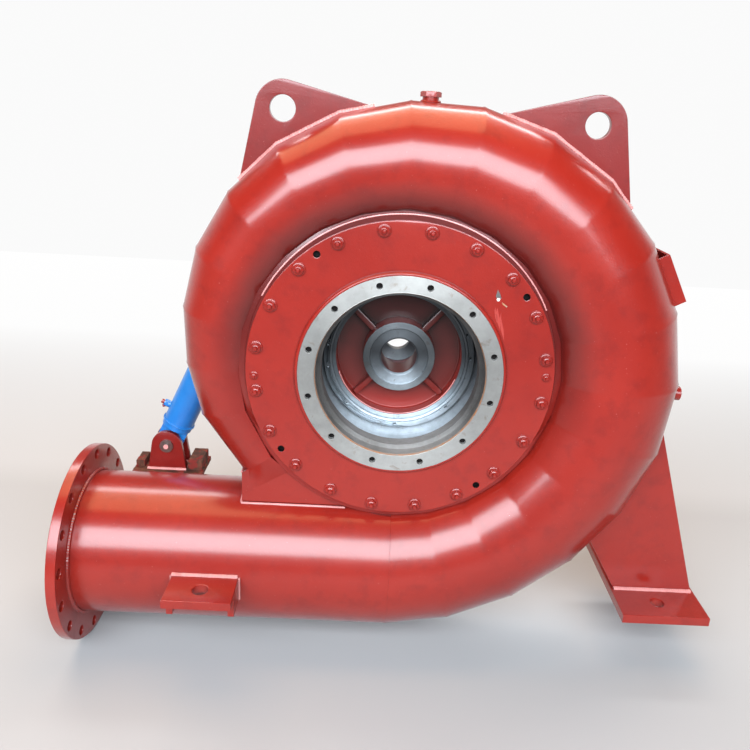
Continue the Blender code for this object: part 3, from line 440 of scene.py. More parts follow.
def offset(outline, distance):
    """The outline moved to its left by a distance, corner by corner."""
    moved = []
    for i, here in enumerate(outline):
        a, b, c = Vector(outline[i - 1]), Vector(here), Vector(outline[(i + 1) % len(outline)])
        u, v = (b - a).normalized(), (c - b).normalized()
        left = Vector((-u.y - v.y, u.x + v.x))
        if left.length < 1e-6:
            left = Vector((-u.y, u.x))
        left.normalize()
        moved.append(tuple(b + left * (distance / max(0.35, left.dot(Vector((-u.y, u.x)))))))
    return moved


def area(outline):
    return sum(a[0] * b[1] - b[0] * a[1] for a, b in zip(outline, outline[1:] + outline[:1])) / 2


def skin(bm, rings, finish=0, wrapped=True, closed=False, cap=False):
    """Faces between rows of vertices. wrapped joins each row's ends, closed joins the last row to the first one, and
    cap fills the last row."""
    pairs = list(zip(rings, rings[1:])) + [(rings[-1], rings[0])] * closed
    for near, far in pairs:
        for i in range(len(near) if wrapped else len(near) - 1):
            j = (i + 1) % len(near)
            bm.faces.new((near[i], near[j], far[j], far[i])).material_index = finish
    if cap:
        bm.faces.new(rings[-1]).material_index = finish


def paint(bm, *rules):
    """Gives each face the finish of the first rule that its middle fits. A rule is a finish and a test of radius, y
    and z."""
    for face in bm.faces:
        middle = face.calc_center_median()
        place = hypot(middle.x, middle.z), middle.y, middle.z
        for finish, fits in rules:
            if fits(*place):
                face.material_index = finish
                break


def upright(x, z, y):
    """Places an outline of (x, z) points, for a plate that faces front and back."""
    return (x, y, z)


def on_x(y, z, x):
    """Places an outline of (y, z) points, for a plate across the X axis."""
    return (x, y, z)


def on_z(x, y, z):
    """Places an outline of (x, y) points, for a level plate."""
    return (x, y, z)


def radial(angle):
    """Places an outline of (radius, y) points at an angle round the shaft, for a plate across that direction."""
    (ux, uz), (vx, vz) = polar(1, angle), polar(1, angle + 90)
    return lambda radius, y, across: (radius * ux + across * vx, y, radius * uz + across * vz)


def slab(bm, outer, holes, front, back, soft=0.002, spot=upright, finish=0):
    """A flat plate between two planes, from an outline and holes, with rounded edges. spot takes a point of the
    outline and the distance across the plate to space."""
    loops = [outer if area(outer) > 0 else outer[::-1]] + [hole if area(hole) < 0 else hole[::-1] for hole in holes]
    layers = [(soft, front), (0.3 * soft, front + 0.3 * soft), (0, front + soft),
              (0, back - soft), (0.3 * soft, back - 0.3 * soft), (soft, back)]
    ends = [], []
    for loop in loops:
        rings = [[bm.verts.new(spot(*p, level)) for p in (offset(loop, inset) if inset else loop)]
                 for inset, level in layers]
        skin(bm, rings, finish)
        ends[0].extend(rings[0])
        ends[1].extend(rings[-1])
    corners = tessellate_polygon([[Vector((*p, 0)) for p in offset(loop, soft)] for loop in loops])
    for verts in ends:
        for corner in corners:
            trio = [verts[i] for i in corner]
            if len(set(trio)) == 3 and not bm.faces.get(trio):
                bm.faces.new(trio).material_index = finish


def tube(bm, path, radius, sides=12, finish=0, closed=False, ripple=0.0):
    """A round bar along a path. With a ripple it is a weld bead."""
    path = [Vector(p) for p in path]
    last = len(path) - 1
    rings, travelled, across = [], 0.0, None
    for i, here in enumerate(path):
        before = path[i - 1] if i or closed else here
        after = path[(i + 1) % (last + 1)] if i < last or closed else here
        ahead = (after - before).normalized()
        if i:
            travelled += (here - path[i - 1]).length
        else:
            across = ahead.orthogonal().normalized()
        across = (across - ahead * across.dot(ahead)).normalized()
        size = radius
        if ripple:
            size *= 1 + ripple * (sin(2 * pi * travelled / BEAD_PITCH) + 1.3 * noise.noise(here * 60))
        rings.append([bm.verts.new(p) for p in hoop(here, size, across, ahead.cross(across), sides)])
    skin(bm, rings, finish, closed=closed)
    if not closed:
        for ring in (rings[0], rings[-1]):
            bm.faces.new(ring).material_index = finish


def evenly(path, gap=0.0025, closed=False):
    """Points at even distances along a line of points."""
    path = [Vector(p) for p in path]
    if closed:
        path.append(path[0])
    points = [path[0]]
    left = gap
    for a, b in zip(path, path[1:]):
        length = (b - a).length
        while left <= length:
            points.append(a.lerp(b, left / length))
            left += gap
        left -= length
    return points


def bead(bm, path, radius=0.0045, closed=False):
    tube(bm, evenly(path, closed=closed), radius, 8, closed=closed, ripple=0.10)


def bar(bm, start, end, radius, sides=32, finish=0, soft=0.0012):
    """A round bar with softened ends."""
    start, end = Vector(start), Vector(end)
    ahead = (end - start).normalized()
    tube(bm, [start, start + ahead * soft, end - ahead * soft, end], radius, sides, finish)


def pin(bm, spot, front, back, radius, sides=40, finish=0, soft=0.0012):
    """A bar along Y through an (x, z) point."""
    bar(bm, (spot[0], front, spot[1]), (spot[0], back, spot[1]), radius, sides, finish, soft)


def nut(bm, centre, ahead, flats, height, turn=0.0, finish=0):
    """A hexagon with its corners chamfered at the top, standing along a direction."""
    ahead = Vector(ahead).normalized()
    across = ahead.orthogonal().normalized()
    across.rotate(Matrix.Rotation(turn, 3, ahead))
    other = ahead.cross(across)
    rings = []
    half = flats / 2
    corner = half / cos(pi / 6)
    for level, reach in ((0, corner), (height * 0.86, corner), (height, half * 0.97)):
        ring = []
        for i in range(24):
            angle = 2 * pi * i / 24
            size = min(half / cos(angle % (pi / 3) - pi / 6), reach)
            out = (across * cos(angle) + other * sin(angle)) * size
            ring.append(bm.verts.new(Vector(centre) + ahead * level + out))
        rings.append(ring)
    skin(bm, rings, finish, cap=True)


def turned(bm, centre, ahead, profile, size):
    """A round shape from pairs of radius and height, both given as shares of size."""
    across = ahead.orthogonal().normalized()
    rings = [hoop(centre + ahead * height * size, max(radius, 0.02) * size, across, ahead.cross(across), 28)
             for radius, height in profile]
    skin(bm, [[bm.verts.new(p) for p in ring] for ring in rings], cap=True)


def bolt(bm, centre, ahead, size, turn=0.0):
    """A washer, a nut and the end of its stud. size is the stud's diameter."""
    centre, ahead = Vector(centre), Vector(ahead).normalized()
    turned(bm, centre, ahead, [(0.94, -0.02), (0.94, 0.10), (0.88, 0.17), (0.76, 0.22), (0.60, 0.22)], size)
    nut(bm, centre + ahead * 0.20 * size, ahead, size * 1.30, size * 0.46, turn)
    turned(bm, centre, ahead, [(0.58, 0.60), (0.50, 0.70), (0.37, 0.75), (0.30, 0.72)], size)
    turned(bm, centre, ahead, [(0.30, 0.60), (0.30, 0.98), (0.24, 1.06), (0.0, 1.09)], size)


# Spiral case

def section_centre(joint):
    return MOUTH_RADIUS + sqrt(JOINT_RADII[joint] ** 2 - MOUTH_HALF**2)


def wall_points(joint, outside):
    """The spiral's round wall at a mitre joint, from one edge of the mouth to the other."""
    centre, radius = section_centre(joint), JOINT_RADII[joint] + outside
    reach = acos((MOUTH_RADIUS + 0.0005 - centre) / radius)
    points = []
    for i in range(SECTION_POINTS):
        turn = reach * (2 * i / (SECTION_POINTS - 1) - 1)
        x, z = polar(centre + radius * cos(turn), JOINT_ANGLES[joint])
        points.append(Vector((x, radius * sin(turn), z)))
    return points


def rim_point(angle, out=0.0):
    """The spiral's outermost point in the middle plane, on the straight line between two mitre joints."""
    index = sum(joint <= angle for joint in JOINT_ANGLES[1:-1])
    ends = [polar(section_centre(i) + JOINT_RADII[i], JOINT_ANGLES[i]) for i in (index, index + 1)]
    (x0, z0), (x1, z1) = ends
    ux, uz = polar(1, angle)
    share = (x0 * uz - z0 * ux) / ((x0 - x1) * uz - (z0 - z1) * ux)
    radius = hypot(x0 + (x1 - x0) * share, z0 + (z1 - z0) * share) + out
    return (radius * ux, radius * uz)


def rim_line(start, end):
    inside = sorted((a for a in JOINT_ANGLES if min(start, end) < a < max(start, end)), reverse=end < start)
    return [rim_point(a) for a in [start, *inside, end]]


def spiral():
    """The shell, with a softened ridge along each mitre joint."""
    bm = bmesh.new()
    count = SECTION_POINTS
    joints = [wall_points(k, 0) + wall_points(k, -WALL)[::-1] for k in range(MITRES + 1)]
    ridges = [wall_points(k, 0.0009) for k in range(MITRES + 1)]
    rings = []
    for k, here in enumerate(joints):
        for side in (-1, 0, 1):
            if side == 0:
                ring = (ridges[k] if 0 < k < MITRES else here[:count]) + here[count:]
            elif 0 <= k + side <= MITRES:
                ring = [p + (q - p).normalized() * 0.006 for p, q in zip(here, joints[k + side])]
            else:
                continue
            rings.append([bm.verts.new(p) for p in ring])
    skin(bm, rings)
    total = 2 * count
    for ring in (rings[0], rings[-1]):
        for i in range(count - 1):
            bm.faces.new((ring[i], ring[i + 1], ring[total - 2 - i], ring[total - 1 - i]))
    piece("spiral_shell", bm, SPIRAL, [f"volute_segment_{i}" for i in range(1, 6)], sharp=50)


def inlet():
    bm = bmesh.new()
    face, back = -0.906, -0.8785
    lathe(bm, rectangle(PIPE_RADIUS - WALL, PIPE_RADIUS, face + 0.001, 0.0), 120, 0.001, "X", (0, 0, PIPE_Z))
    pipe = piece("inlet_pipe_shell", bm, RED, ["inlet_pipe"])
    bm = bmesh.new()
    tube(bm, [(0, -0.105, 0), (0, 0.105, 0)], MOUTH_RADIUS, 160)
    bm.transform(Matrix.Translation(SHAFT))
    bmesh.ops.recalc_face_normals(bm, faces=bm.faces)
    cutter = add("pipe_mouth_cutter", mesh_from(bm, "pipe_mouth_cutter"))
    cut = pipe.modifiers.new("mouth", "BOOLEAN")
    cut.operation, cut.object = "DIFFERENCE", cutter
    pipe.modifiers.move(1, 0)
    bpy.context.view_layer.update()
    done = bpy.data.meshes.new_from_object(pipe.evaluated_get(bpy.context.evaluated_depsgraph_get()))
    pipe.modifiers.clear()
    pipe.data = done
    done.name = "inlet_pipe_shell"
    bpy.data.objects.remove(cutter, do_unlink=True)

    bm = bmesh.new()
    holes = [circle(0.014, spot, 28) for spot in spaced(0.2575, 16, 11.25)]
    slab(bm, circle(0.2825, sides=144), [circle(PIPE_RADIUS + 0.0002, sides=120), *holes], face, back, 0.0025, on_x)
    bmesh.ops.translate(bm, verts=bm.verts, vec=(0, 0, PIPE_Z))
    piece("inlet_flange_plate", bm, RED, ["inlet_flange"])

    bm = bmesh.new()
    for x, radius, thick in ((back, 0.2055, 0.0062), (face + 0.0055, 0.1945, 0.004)):
        bead(bm, hoop((x, 0, PIPE_Z), radius, BACKWARDS, UP, 160), thick, True)
    piece("flange_welds", bm, RED)


def stay_ring():
    bm = bmesh.new()
    for near, far in ((-0.090, -0.060), (0.060, 0.090)):
        lathe(bm, rectangle(0.3603, MOUTH_RADIUS, near, far))
    piece("stay_ring_plates", bm, RED, ["stay_ring_front", "stay_ring_back"])
    bm = bmesh.new()
    nose, tail = 0.035, 0.0085
    shares = [s / 12 for s in range(13)]
    side = [(-nose + 2 * nose * t, tail * (2.6 * sqrt(t) * (1 - t) ** 0.8) + 0.0008) for t in shares]
    side += [(a, -b) for a, b in side[::-1]]
    for i, (x, z) in enumerate(spaced(0.397, 8, 22.5)):
        lean = radians(22.5 + 45 * i + 125)
        shape = [(x + a * cos(lean) - b * sin(lean), z + a * sin(lean) + b * cos(lean)) for a, b in side]
        slab(bm, shape, [], -0.0598, 0.0598, 0.0003)
    piece("stay_vanes", bm, RED, [f"stay_vane_{i}" for i in range(1, 9)])


def rows_round(bm, turns, profile):
    """A row of vertices at each turn round the shaft, from the profile of (radius, y) points for that turn."""
    return [[bm.verts.new((r * cos(turn), y, r * sin(turn))) for r, y in profile(turn)] for turn in turns]


def cover_step():
    """The weld behind the spiral's mouth, and in front the step round the cover: wide above, with a pale bead on its
    crest as a painted highlight line, and a dark strip below as a painted shadow under the cover's edge."""
    def crest(turn):
        return 0.0125 * max(0.0, sin(turn)) ** 1.3

    def below(turn):
        return min(1.0, max(0.0, -2.2 * sin(turn) - 0.2))

    def step(turn):
        top = 0.4103 + crest(turn) - 0.0045 * below(turn)
        foot = 0.4400 - 0.0320 * below(turn)
        return (0.4050, -0.1090), (top, -0.1085), (top + 0.0015, -0.1070), (top + 0.0022, -0.1050), (foot, -0.0960)

    def gap(turn):
        return (0.4080, -0.1000), (0.4125 + 0.0140 * below(turn), -0.0930)

    bm = bmesh.new()
    bead(bm, hoop((0, 0.0925, 0), 0.4290, (1, 0, 0), UP, 180), 0.0042, True)
    skin(bm, rows_round(bm, [2 * pi * i / 180 for i in range(180)], step), 1, wrapped=False, closed=True)
    turns = [radians(28 + 124 * i / 60) for i in range(61)]
    # A pale bead along the step's crest, in the first finish: a painted highlight line
    highlight_line = [((0.4112 + crest(turn)) * cos(turn), -0.1075, (0.4112 + crest(turn)) * sin(turn)) for turn in turns]
    bead(bm, highlight_line, 0.0022)
    # A strip under the cover's lower edge, in the dark cavity paint: a painted shadow
    skin(bm, rows_round(bm, [radians(192 + 2 * i) for i in range(76)], gap), 2, wrapped=False)
    piece("stay_ring_welds", bm, [HIGHLIGHT_RED, SPIRAL, CAVITY])


def tongue():
    left, half, inside = -0.425, 0.078, 0.064
    pipe_top = PIPE_Z + sqrt((PIPE_RADIUS + GAP) ** 2 - inside**2) + GAP
    ring = MOUTH_RADIUS + 2 * GAP
    start = JOINT_ANGLES[-1] + 0.1
    end = 180 + degrees(acos(-sqrt(ring**2 - pipe_top**2) / -ring))
    corner = left * tan(radians(start))
    outline = arc((0, 0), ring, start, end, 24) + [(left, pipe_top), (left, corner)]
    bm = bmesh.new()
    slab(bm, outline, [], -half, -inside, 0.0012)
    slab(bm, outline, [], inside, half, 0.0012)
    slab(bm, rectangle(left, -0.411, -0.4135, corner - 0.0015), [], GAP - inside, inside - GAP, 0.0008)
    piece("tongue_plates", bm, RED, ["tongue_front_plate", "tongue_back_plate", "tongue_end_plate"])
    bm = bmesh.new()
    for y in (-0.0795, 0.0795):
        foot = PIPE_Z + sqrt(PIPE_RADIUS**2 - y**2) + 0.001
        bead(bm, [(-0.427, y, foot), (-0.13, y, foot)], 0.0034)
    across = [half * (i / 12 - 1) for i in range(25)]
    bead(bm, [(-0.4265, y, PIPE_Z + sqrt(PIPE_RADIUS**2 - y**2) + 0.001) for y in across], 0.004)
    bead(bm, [(-0.4255, -0.07, corner), (-0.4255, 0.07, corner)], 0.0035)
    piece("tongue_welds", bm, HIGHLIGHT_RED)


def fairing():
    """Where the spiral's round end flattens out into the tongue's plates, on both sides."""
    bm = bmesh.new()
    half = SECTION_POINTS // 2
    edge = wall_points(MITRES, 0)[:half + 1]
    x, z = polar(0.4315, 227.0)
    for side in (1, -1):
        rows = []
        for step in range(13):
            share = step / 12
            share = share * share * (3 - 2 * share)
            row = []
            for i, here in enumerate(edge):
                flat, rounded = min(1, i / half / 0.62), max(0, (i / half - 0.62) / 0.38)
                there = Vector((x + (-0.4262 - x) * flat, -0.0787 * (1 - rounded), z + (-0.395 - z) * flat))
                spot = here.lerp(there, share)
                row.append(bm.verts.new((spot.x, spot.y * side, spot.z)))
            rows.append(row)
        skin(bm, rows, wrapped=False)
    piece("tongue_fairing", bm, RED)


# Covers

DRAFT_HOLES = spaced(0.2502, 12, 105.5)
COVER_BOLTS = spaced(0.3852, 20, 99.3)
STEMS = [circle(0.016, spot, 32) for spot in spaced(VANE_CIRCLE, VANES, VANE_START)]


def front_cover():
    sleeve = DRAFT_SLEEVE + GAP
    bm = bmesh.new()
    plain = [polar(0.3865, a) for a in (126.3, 36.3, 216.3, 306.3)]
    holes = [circle(0.0085, spot, 20) for spot in plain] + [circle(0.0062, spot, 16) for spot in DRAFT_HOLES]
    slab(bm, circle(COVER_RADIUS, sides=180), [circle(sleeve, sides=144), *holes], -COVER_FACE, -COVER_BACK, 0.003)
    # The walls of the four plain holes get the near-black finish, and a near-black disc sits inside each: painted shade
    for face in bm.faces:
        middle = face.calc_center_median()
        nearest = min(hypot(middle.x - x, middle.z - z) for x, z in plain)
        if nearest < 0.0090 and middle.y > -COVER_FACE + 0.0005:
            face.material_index = 1
    for spot in plain:
        slab(bm, circle(0.0087, spot, 20), [], -0.0990, -0.0984, 0.0001, finish=1)
    lathe(bm, rectangle(sleeve, COVER_SPIGOT, -0.0904, -CHANNEL_HALF))
    piece("front_cover_plate", bm, [RED, HOLE_SHADE], ["front_cover"])

    bm = bmesh.new()
    for i, (x, z) in enumerate(COVER_BOLTS):
        bolt(bm, (x, -COVER_FACE, z), FORWARDS, COVER_STUD, radians(37 * i))
    for angle in (183.0, 2.0):
        x, z = polar(0.386, angle)
        bolt(bm, (x, -COVER_FACE, z), FORWARDS, 0.0125, 0.3)
    piece("cover_bolts", bm, BOLT)


def paint_damage():
    """A chip with bare metal and a rusty streak beside it, and smears of lighter paint below, on the front cover."""
    bm = bmesh.new()
    x, z = 0.2392, 0.2192
    chip = [(0.005, 0.001), (0.002, 0.005), (-0.003, 0.004), (-0.005, 0.000), (-0.003, -0.004), (0.002, -0.005)]
    bare = [(-0.004, 0.026), (-0.0075, 0.008), (-0.006, 0.004), (0.0075, 0.003), (0.003, 0.014)]
    rusty = [(0.009, -0.006), (0.013, -0.009), (0.025, -0.017), (0.023, -0.020), (0.012, -0.013)]
    patches = [(0, 0.0004, chip), (1, 0.0004, bare), (2, 0.0004, rusty)]
    for u, w, wide, long in (
        (0.000, -0.022, 0.0030, 0.060), (0.010, -0.035, 0.0020, 0.075), (-0.006, -0.020, 0.0016, 0.045),
    ):
        smear = [(u, w), (u + wide, w - 0.2 * long), (u + wide + 0.12 * long, w - 0.6 * long),
                 (u + 0.20 * long, w - long), (u + 0.08 * long - wide, w - 0.6 * long), (u - wide, w - 0.2 * long)]
        patches.append((3, 0.0003, smear))
    for finish, proud, outline in patches:
        slab(bm, [(x + u, z + w) for u, w in outline], [], -COVER_FACE - proud, -0.1140, 0.0001, finish=finish)
    piece("cover_paint_damage", bm, [CHALK, STEEL, EDGE, SMEAR])


def draft_ring():
    bm = bmesh.new()
    holes = [circle(0.0086, spot, 24) for spot in DRAFT_HOLES]
    slab(bm, circle(DRAFT_RADIUS, sides=180), [circle(0.2278, sides=160), *holes], DRAFT_FACE, -0.1153, 0.0006)
    # A near-black disc inside each tapped hole: painted shade
    for spot in DRAFT_HOLES:
        slab(bm, circle(0.0090, spot, 20), [], -0.1168, -0.1160, 0.0001, finish=1)
    piece("draft_ring_face", bm, [FACE, HOLE_SHADE], ["draft_ring"])
    bm = bmesh.new()
    lathe(bm, [(0.2282, -0.1287), (DRAFT_SLEEVE, -0.1280), (DRAFT_SLEEVE, -CHANNEL_HALF), (0.2120, -CHANNEL_HALF),
               (0.2120, -0.090), (0.2249, -0.090), (0.2249, -0.1205), (0.2270, -0.1285)], 160, 0)
    paint(bm, (1, lambda r, y, z: y > -0.1200), (2, lambda r, y, z: r < 0.2268))
    piece("draft_ring_sleeve", bm, [RUST, BROWN, FACE])
    bm = bmesh.new()
    lathe(bm, [(0.2282, -0.1292), (0.2272, -0.1298), (0.2264, -0.1294), (0.2262, -0.1262), (0.2244, -0.1230),
               (0.2262, -0.1210), (0.2282, -0.1210)], 180, 0)
    paint(bm, (1, lambda r, y, z: y > -0.1290 and r < 0.2270))
    piece("draft_ring_edge", bm, [FACE, EDGE])
    bm = bmesh.new()
    lathe(bm, [(0.2712, -0.1284), (0.2760, -0.1278), (0.2795, -0.1240), (0.2815, -0.1148), (0.2712, -0.1148)],
          180, 0.0012)
    piece("draft_ring_shoulder", bm, RED)


def back_cover():
    inside = HOUSING_RADIUS + GAP
    bm = bmesh.new()
    slab(bm, circle(COVER_RADIUS, sides=180), [circle(inside, sides=144), *STEMS], COVER_BACK, COVER_FACE)
    lathe(bm, [(COVER_SPIGOT, CHANNEL_HALF), (COVER_SPIGOT, 0.0904), (0.335, 0.0904), (0.335, CHANNEL_HALF)])
    piece("back_cover_plate", bm, RED, ["back_cover"])
    bm = bmesh.new()
    for inner, outer, face in ((inside, 0.2140, 0.0505), (0.2155, 0.2387, 0.050), (0.2387, 0.2534, 0.0504),
                               (0.2534, 0.3351, 0.0508)):
        cut = STEMS if inner > 0.25 else []
        slab(bm, circle(outer, sides=160), [circle(inner, sides=144), *cut], face, 0.0902, 0.0006)
    piece("back_cover_turned_face", bm, BORE)
    bm = bmesh.new()
    for i, (x, z) in enumerate(COVER_BOLTS):
        bolt(bm, (x, COVER_FACE, z), BACKWARDS, COVER_STUD, radians(53 * i))
    piece("back_cover_bolts", bm, BOLT)

    bm = bmesh.new()
    angles = 171.0, 189.5, 2.0, 22.0, 45.0, 90.0, 135.0, 225.0, 270.0, 315.0
    holes = [circle(0.0042, polar(0.2015, angle), 20) for angle in angles]
    slab(bm, circle(0.2135, sides=160), [circle(0.1985, sides=144), *holes], 0.032, 0.0497, 0.0012)
    lathe(bm, [(inside, 0.034), (0.1940, 0.0325), (0.1962, 0.0325), (0.1972, 0.036), (0.1985, 0.036),
               (0.1985, 0.0497), (inside, 0.0497)], 160, 0.0005)
    piece("seal_ring_turned", bm, BORE, ["seal_ring"])


def housing():
    bm = bmesh.new()
    lathe(bm, [(HOUSING_RADIUS, COVER_FACE), (HOUSING_RADIUS, 0.091), (0.179, 0.091), (0.179, 0.100),
               (0.1015, 0.100), (0.1015, 0.094), (0.096, 0.094), (0.096, COVER_FACE)], soft=0.004)
    rib = [(0.097, 0.070), (0.1775, 0.080), (0.1775, 0.106), (0.097, 0.106)]
    for i in range(4):
        slab(bm, rib, [], -0.009, 0.009, 0.004, radial(47 + 90 * i))
    # The lower wall of the cavity keeps the plain red, brighter than the cavity paint: painted light where light falls
    # on it
    paint(bm, (1, lambda r, y, z: z < -0.09 and r > 0.1785 and y > 0.0905))
    piece("housing_cavity", bm, [CAVITY, RED], ["shaft_housing"])
    bm = bmesh.new()
    lathe(bm, [(0.102, 0.101), (0.102, 0.038), (0.083, 0.038), (0.083, 0.043), (0.056, 0.043), (0.051, 0.049),
               (0.051, 0.140), (0.075, 0.140), (0.075, 0.235), (0.040, 0.235), (0.040, 0.262), (0.090, 0.262),
               (0.090, 0.101)], soft=0.0016)
    paint(
        bm,
        (1, lambda r, y, z: 0.0515 < r < 0.0765 and 0.1395 < y < 0.2335),
        (1, lambda r, y, z: r > 0.1015 and y > 0.046 or r > 0.0835 and y > 0.1),
        # The bore behind the hub's face gets the dark cavity paint: painted shade
        (2, lambda r, y, z: r < 0.0515 and 0.050 < y < 0.1395),
        (3, lambda r, y, z: r < 0.0835 and y < 0.0515),
    )
    piece("shaft_hub", bm, [HUB, RED, CAVITY, BORE])
    bm = bmesh.new()
    lathe(bm, [(0.1792, 0.0910), (0.1792, 0.045), (HOUSING_RADIUS, 0.045), (HOUSING_RADIUS, 0.0912)], 160, 0.0012)
    paint(bm, (1, lambda r, y, z: r < 0.1800 and y > 0.0475))
    # A pale bead along the lower edge of the lip, in the third finish: a painted highlight line
    edge = [(x, 0.0500, z) for x, z in (polar(0.1778, a) for a in range(198, 340, 3))]
    tube(bm, edge, 0.0017, 8, 2)
    piece("housing_lip", bm, [BORE, RED, HIGHLIGHT_RED])


# Guide vanes and their drive

def guide_vanes():
    """Each vane with its stem, forked lever and nut, drawn with X outwards and then turned into its place."""
    ahead = polar(PIN_CIRCLE, PIN_LEAD)
    lean = atan2(ahead[1], ahead[0] - VANE_CIRCLE)
    shares = [i / 24 for i in range(25)]
    side = [(0.010 * 2.6 * sqrt(s) * (1 - s) ** 0.85 + 0.0012 * s, -0.0765 + 0.153 * s) for s in shares]
    blade = side + [(-x, z) for x, z in side[::-1] if x > 0]
    reach, half, slot, root = 0.082, 0.022, 0.010, 0.046
    eye = degrees(asin(half / 0.025))
    lever = arc((0, 0), 0.025, eye, 360 - eye, 20)
    lever += [(reach, -half), (reach, -slot), (root, -slot), (root, slot), (reach, slot), (reach, half)]
    lever = [(x * cos(lean) - z * sin(lean), x * sin(lean) + z * cos(lean)) for x, z in lever]
    for i, (x, z) in enumerate(spaced(VANE_CIRCLE, VANES, VANE_START)):
        bm = bmesh.new()
        slab(bm, blade, [], -0.045, 0.045, 0.0008)
        pin(bm, (0, 0), 0.043, 0.163, 0.0145, 28)
        slab(bm, lever, [], 0.135, 0.155, 0.0015, finish=1)
        tube(bm, [(0, 0.155, 0), (0, 0.158, 0)], 0.0205, 28)
        nut(bm, (0, 0.157, 0), BACKWARDS, 0.027, 0.010, 0.2 * i)
        bm.transform(Matrix.Rotation(-radians(VANE_START + 360 / VANES * i), 4, "Y"))
        bmesh.ops.translate(bm, verts=bm.verts, vec=(x, 0, z))
        stand_in(f"guide_vane_{i + 1:02d}", bm, [STEEL, RED], f"vane_{i + 1:02d}")


def drive():
    ring_front, ring_back, keeper_back = 0.162, 0.182, 0.192
    arm_front, arm_back = ring_back + GAP, 0.2023
    bm = bmesh.new()
    slab(bm, circle(RING_OUTER, sides=160), [circle(0.1965, sides=144)], ring_front, ring_back, 0.0015)
    for i, (x, z) in enumerate(spaced(PIN_CIRCLE, VANES, VANE_START + PIN_LEAD)):
        pin(bm, (x, z), 0.139, 0.163, 0.007, 20, 1)
        nut(bm, (x, 0.1818, z), BACKWARDS, 0.019, 0.006, 0.3 * i, 1)
    stand_in("regulating_ring", bm, [RED, STEEL], RING)
    bm = bmesh.new()
    lathe(bm, rectangle(0.150, 0.195, 0.1153, ring_back))
    stand_in("ring_seat", bm, RED)
    bm = bmesh.new()
    lathe(bm, rectangle(0.150, 0.212, arm_front, keeper_back))
    for i, (x, z) in enumerate(spaced(0.172, 8, 22.5)):
        nut(bm, (x, 0.1915, z), BACKWARDS, 0.019, 0.0075, 0.4 * i)
    stand_in("ring_keeper", bm, FACE)

    tip, half, spread = ARM_TIP, 0.042, 22
    angle = degrees(atan2(tip[1], tip[0]))
    dx, dz = polar(half, angle + 90)
    outline = [polar(0.218, angle + s * spread / 8) for s in range(-8, 9)]
    outline += [polar(RING_OUTER, angle + spread), (tip[0] + dx, tip[1] + dz)]
    outline += arc(tip, half, angle + 75, angle - 75, 20)
    outline += [(tip[0] - dx, tip[1] - dz), polar(RING_OUTER, angle - spread)]
    bm = bmesh.new()
    slab(bm, outline, [circle(SERVO_PIN + GAP, tip, 40)], arm_front, arm_back)
    for s in (-14, 0, 14):
        x, z = polar(0.246, angle + s)
        nut(bm, (x, 0.2020, z), BACKWARDS, 0.024, 0.009, 0.5)
    stand_in("ring_arm", bm, RED, RING)
    bm = bmesh.new()
    pin(bm, tip, arm_front, 0.264, SERVO_PIN)
    for y in (arm_back + GAP, 0.256):
        pin(bm, tip, y, y + 0.006, 0.021)
    stand_in("arm_pin", bm, STEEL, RING)


# Servomotor

def along(distance, side=0.0, y=SERVO_Y):
    """A point at a distance from the lower pin along the servomotor, and to its left."""
    x = FOOT[0] + distance * sin(LEAN) - side * cos(LEAN)
    return Vector((x, y, FOOT[1] + distance * cos(LEAN) + side * sin(LEAN)))


def servo_turned(bm, profile, soft):
    """A profile about the servomotor's own axis."""
    before = set(bm.verts)
    lathe(bm, profile, 64, soft, "Z")
    fresh = [v for v in bm.verts if v not in before]
    bmesh.ops.transform(bm, matrix=Matrix.Translation(along(0)) @ Matrix.Rotation(LEAN, 4, "Y"), verts=fresh)


def servomotor():
    top = 0.475
    bm = bmesh.new()
    servo_turned(bm, [(0, 0.060), (0.0475, 0.060), (0.0475, 0.430), (0.052, 0.430), (0.052, top), (0.021, top),
                      (0.021, 0.440), (0.032, 0.440), (0.032, 0.080), (0, 0.080)], 0.002)
    servo_turned(bm, [(0.0470, 0.414), (0.0495, 0.415), (0.0495, 0.431), (0.0470, 0.431)], 0.0008)
    ahead, left = along(1) - along(0), along(0, 1) - along(0)
    bead(bm, hoop(along(0.079), 0.0480, left, BACKWARDS, 90), 0.0034, True)
    eye = 0.042
    neck = [along(0.012, eye), along(0.012, -eye), along(0.064, -eye), along(0.064, eye)]
    slab(bm, [(p.x, p.z) for p in neck], [], EYE_FRONT, EYE_BACK, 0.003)
    slab(bm, circle(eye, FOOT, 56), [circle(SERVO_PIN + 0.0004, FOOT, 40)], EYE_FRONT, EYE_BACK, 0.0025)
    for port in (0.118, 0.405):
        bar(bm, along(port, 0.044), along(port, 0.066), 0.0110, 28)
        nut(bm, along(port, 0.053), left, 0.0215, 0.010, 0.4)
        bar(bm, along(port, 0.0655), along(port, 0.0760), 0.0068, 24, 2)
        bar(bm, along(port - 0.007, 0.058), along(port - 0.014, 0.067), 0.0050, 20, 2)
    for i in range(6):
        turn = 2 * pi * i / 6 + 0.3
        base = along(top - 0.0005, 0.038 * cos(turn), SERVO_Y + 0.038 * sin(turn))
        nut(bm, base, ahead, 0.010, 0.0055, 0.2, 1)
    stand_in("servo_barrel", bm, [BLUE, STEEL, RED], BARREL)

    bm = bmesh.new()
    end = SERVO_LENGTH - 0.024
    servo_turned(bm, [(0, 0.290), (0.0313, 0.290), (0.0313, 0.315), (0.020, 0.315), (0.020, end), (0, end)], 0.001)
    slab(bm, circle(0.033, ARM_TIP), [circle(0.0165, ARM_TIP, 40)], EYE_FRONT, EYE_BACK, 0.0025, finish=1)
    stand_in("servo_rod", bm, [CHROME, STEEL], ROD)


RIB_PLACES = (-0.772, -0.650)


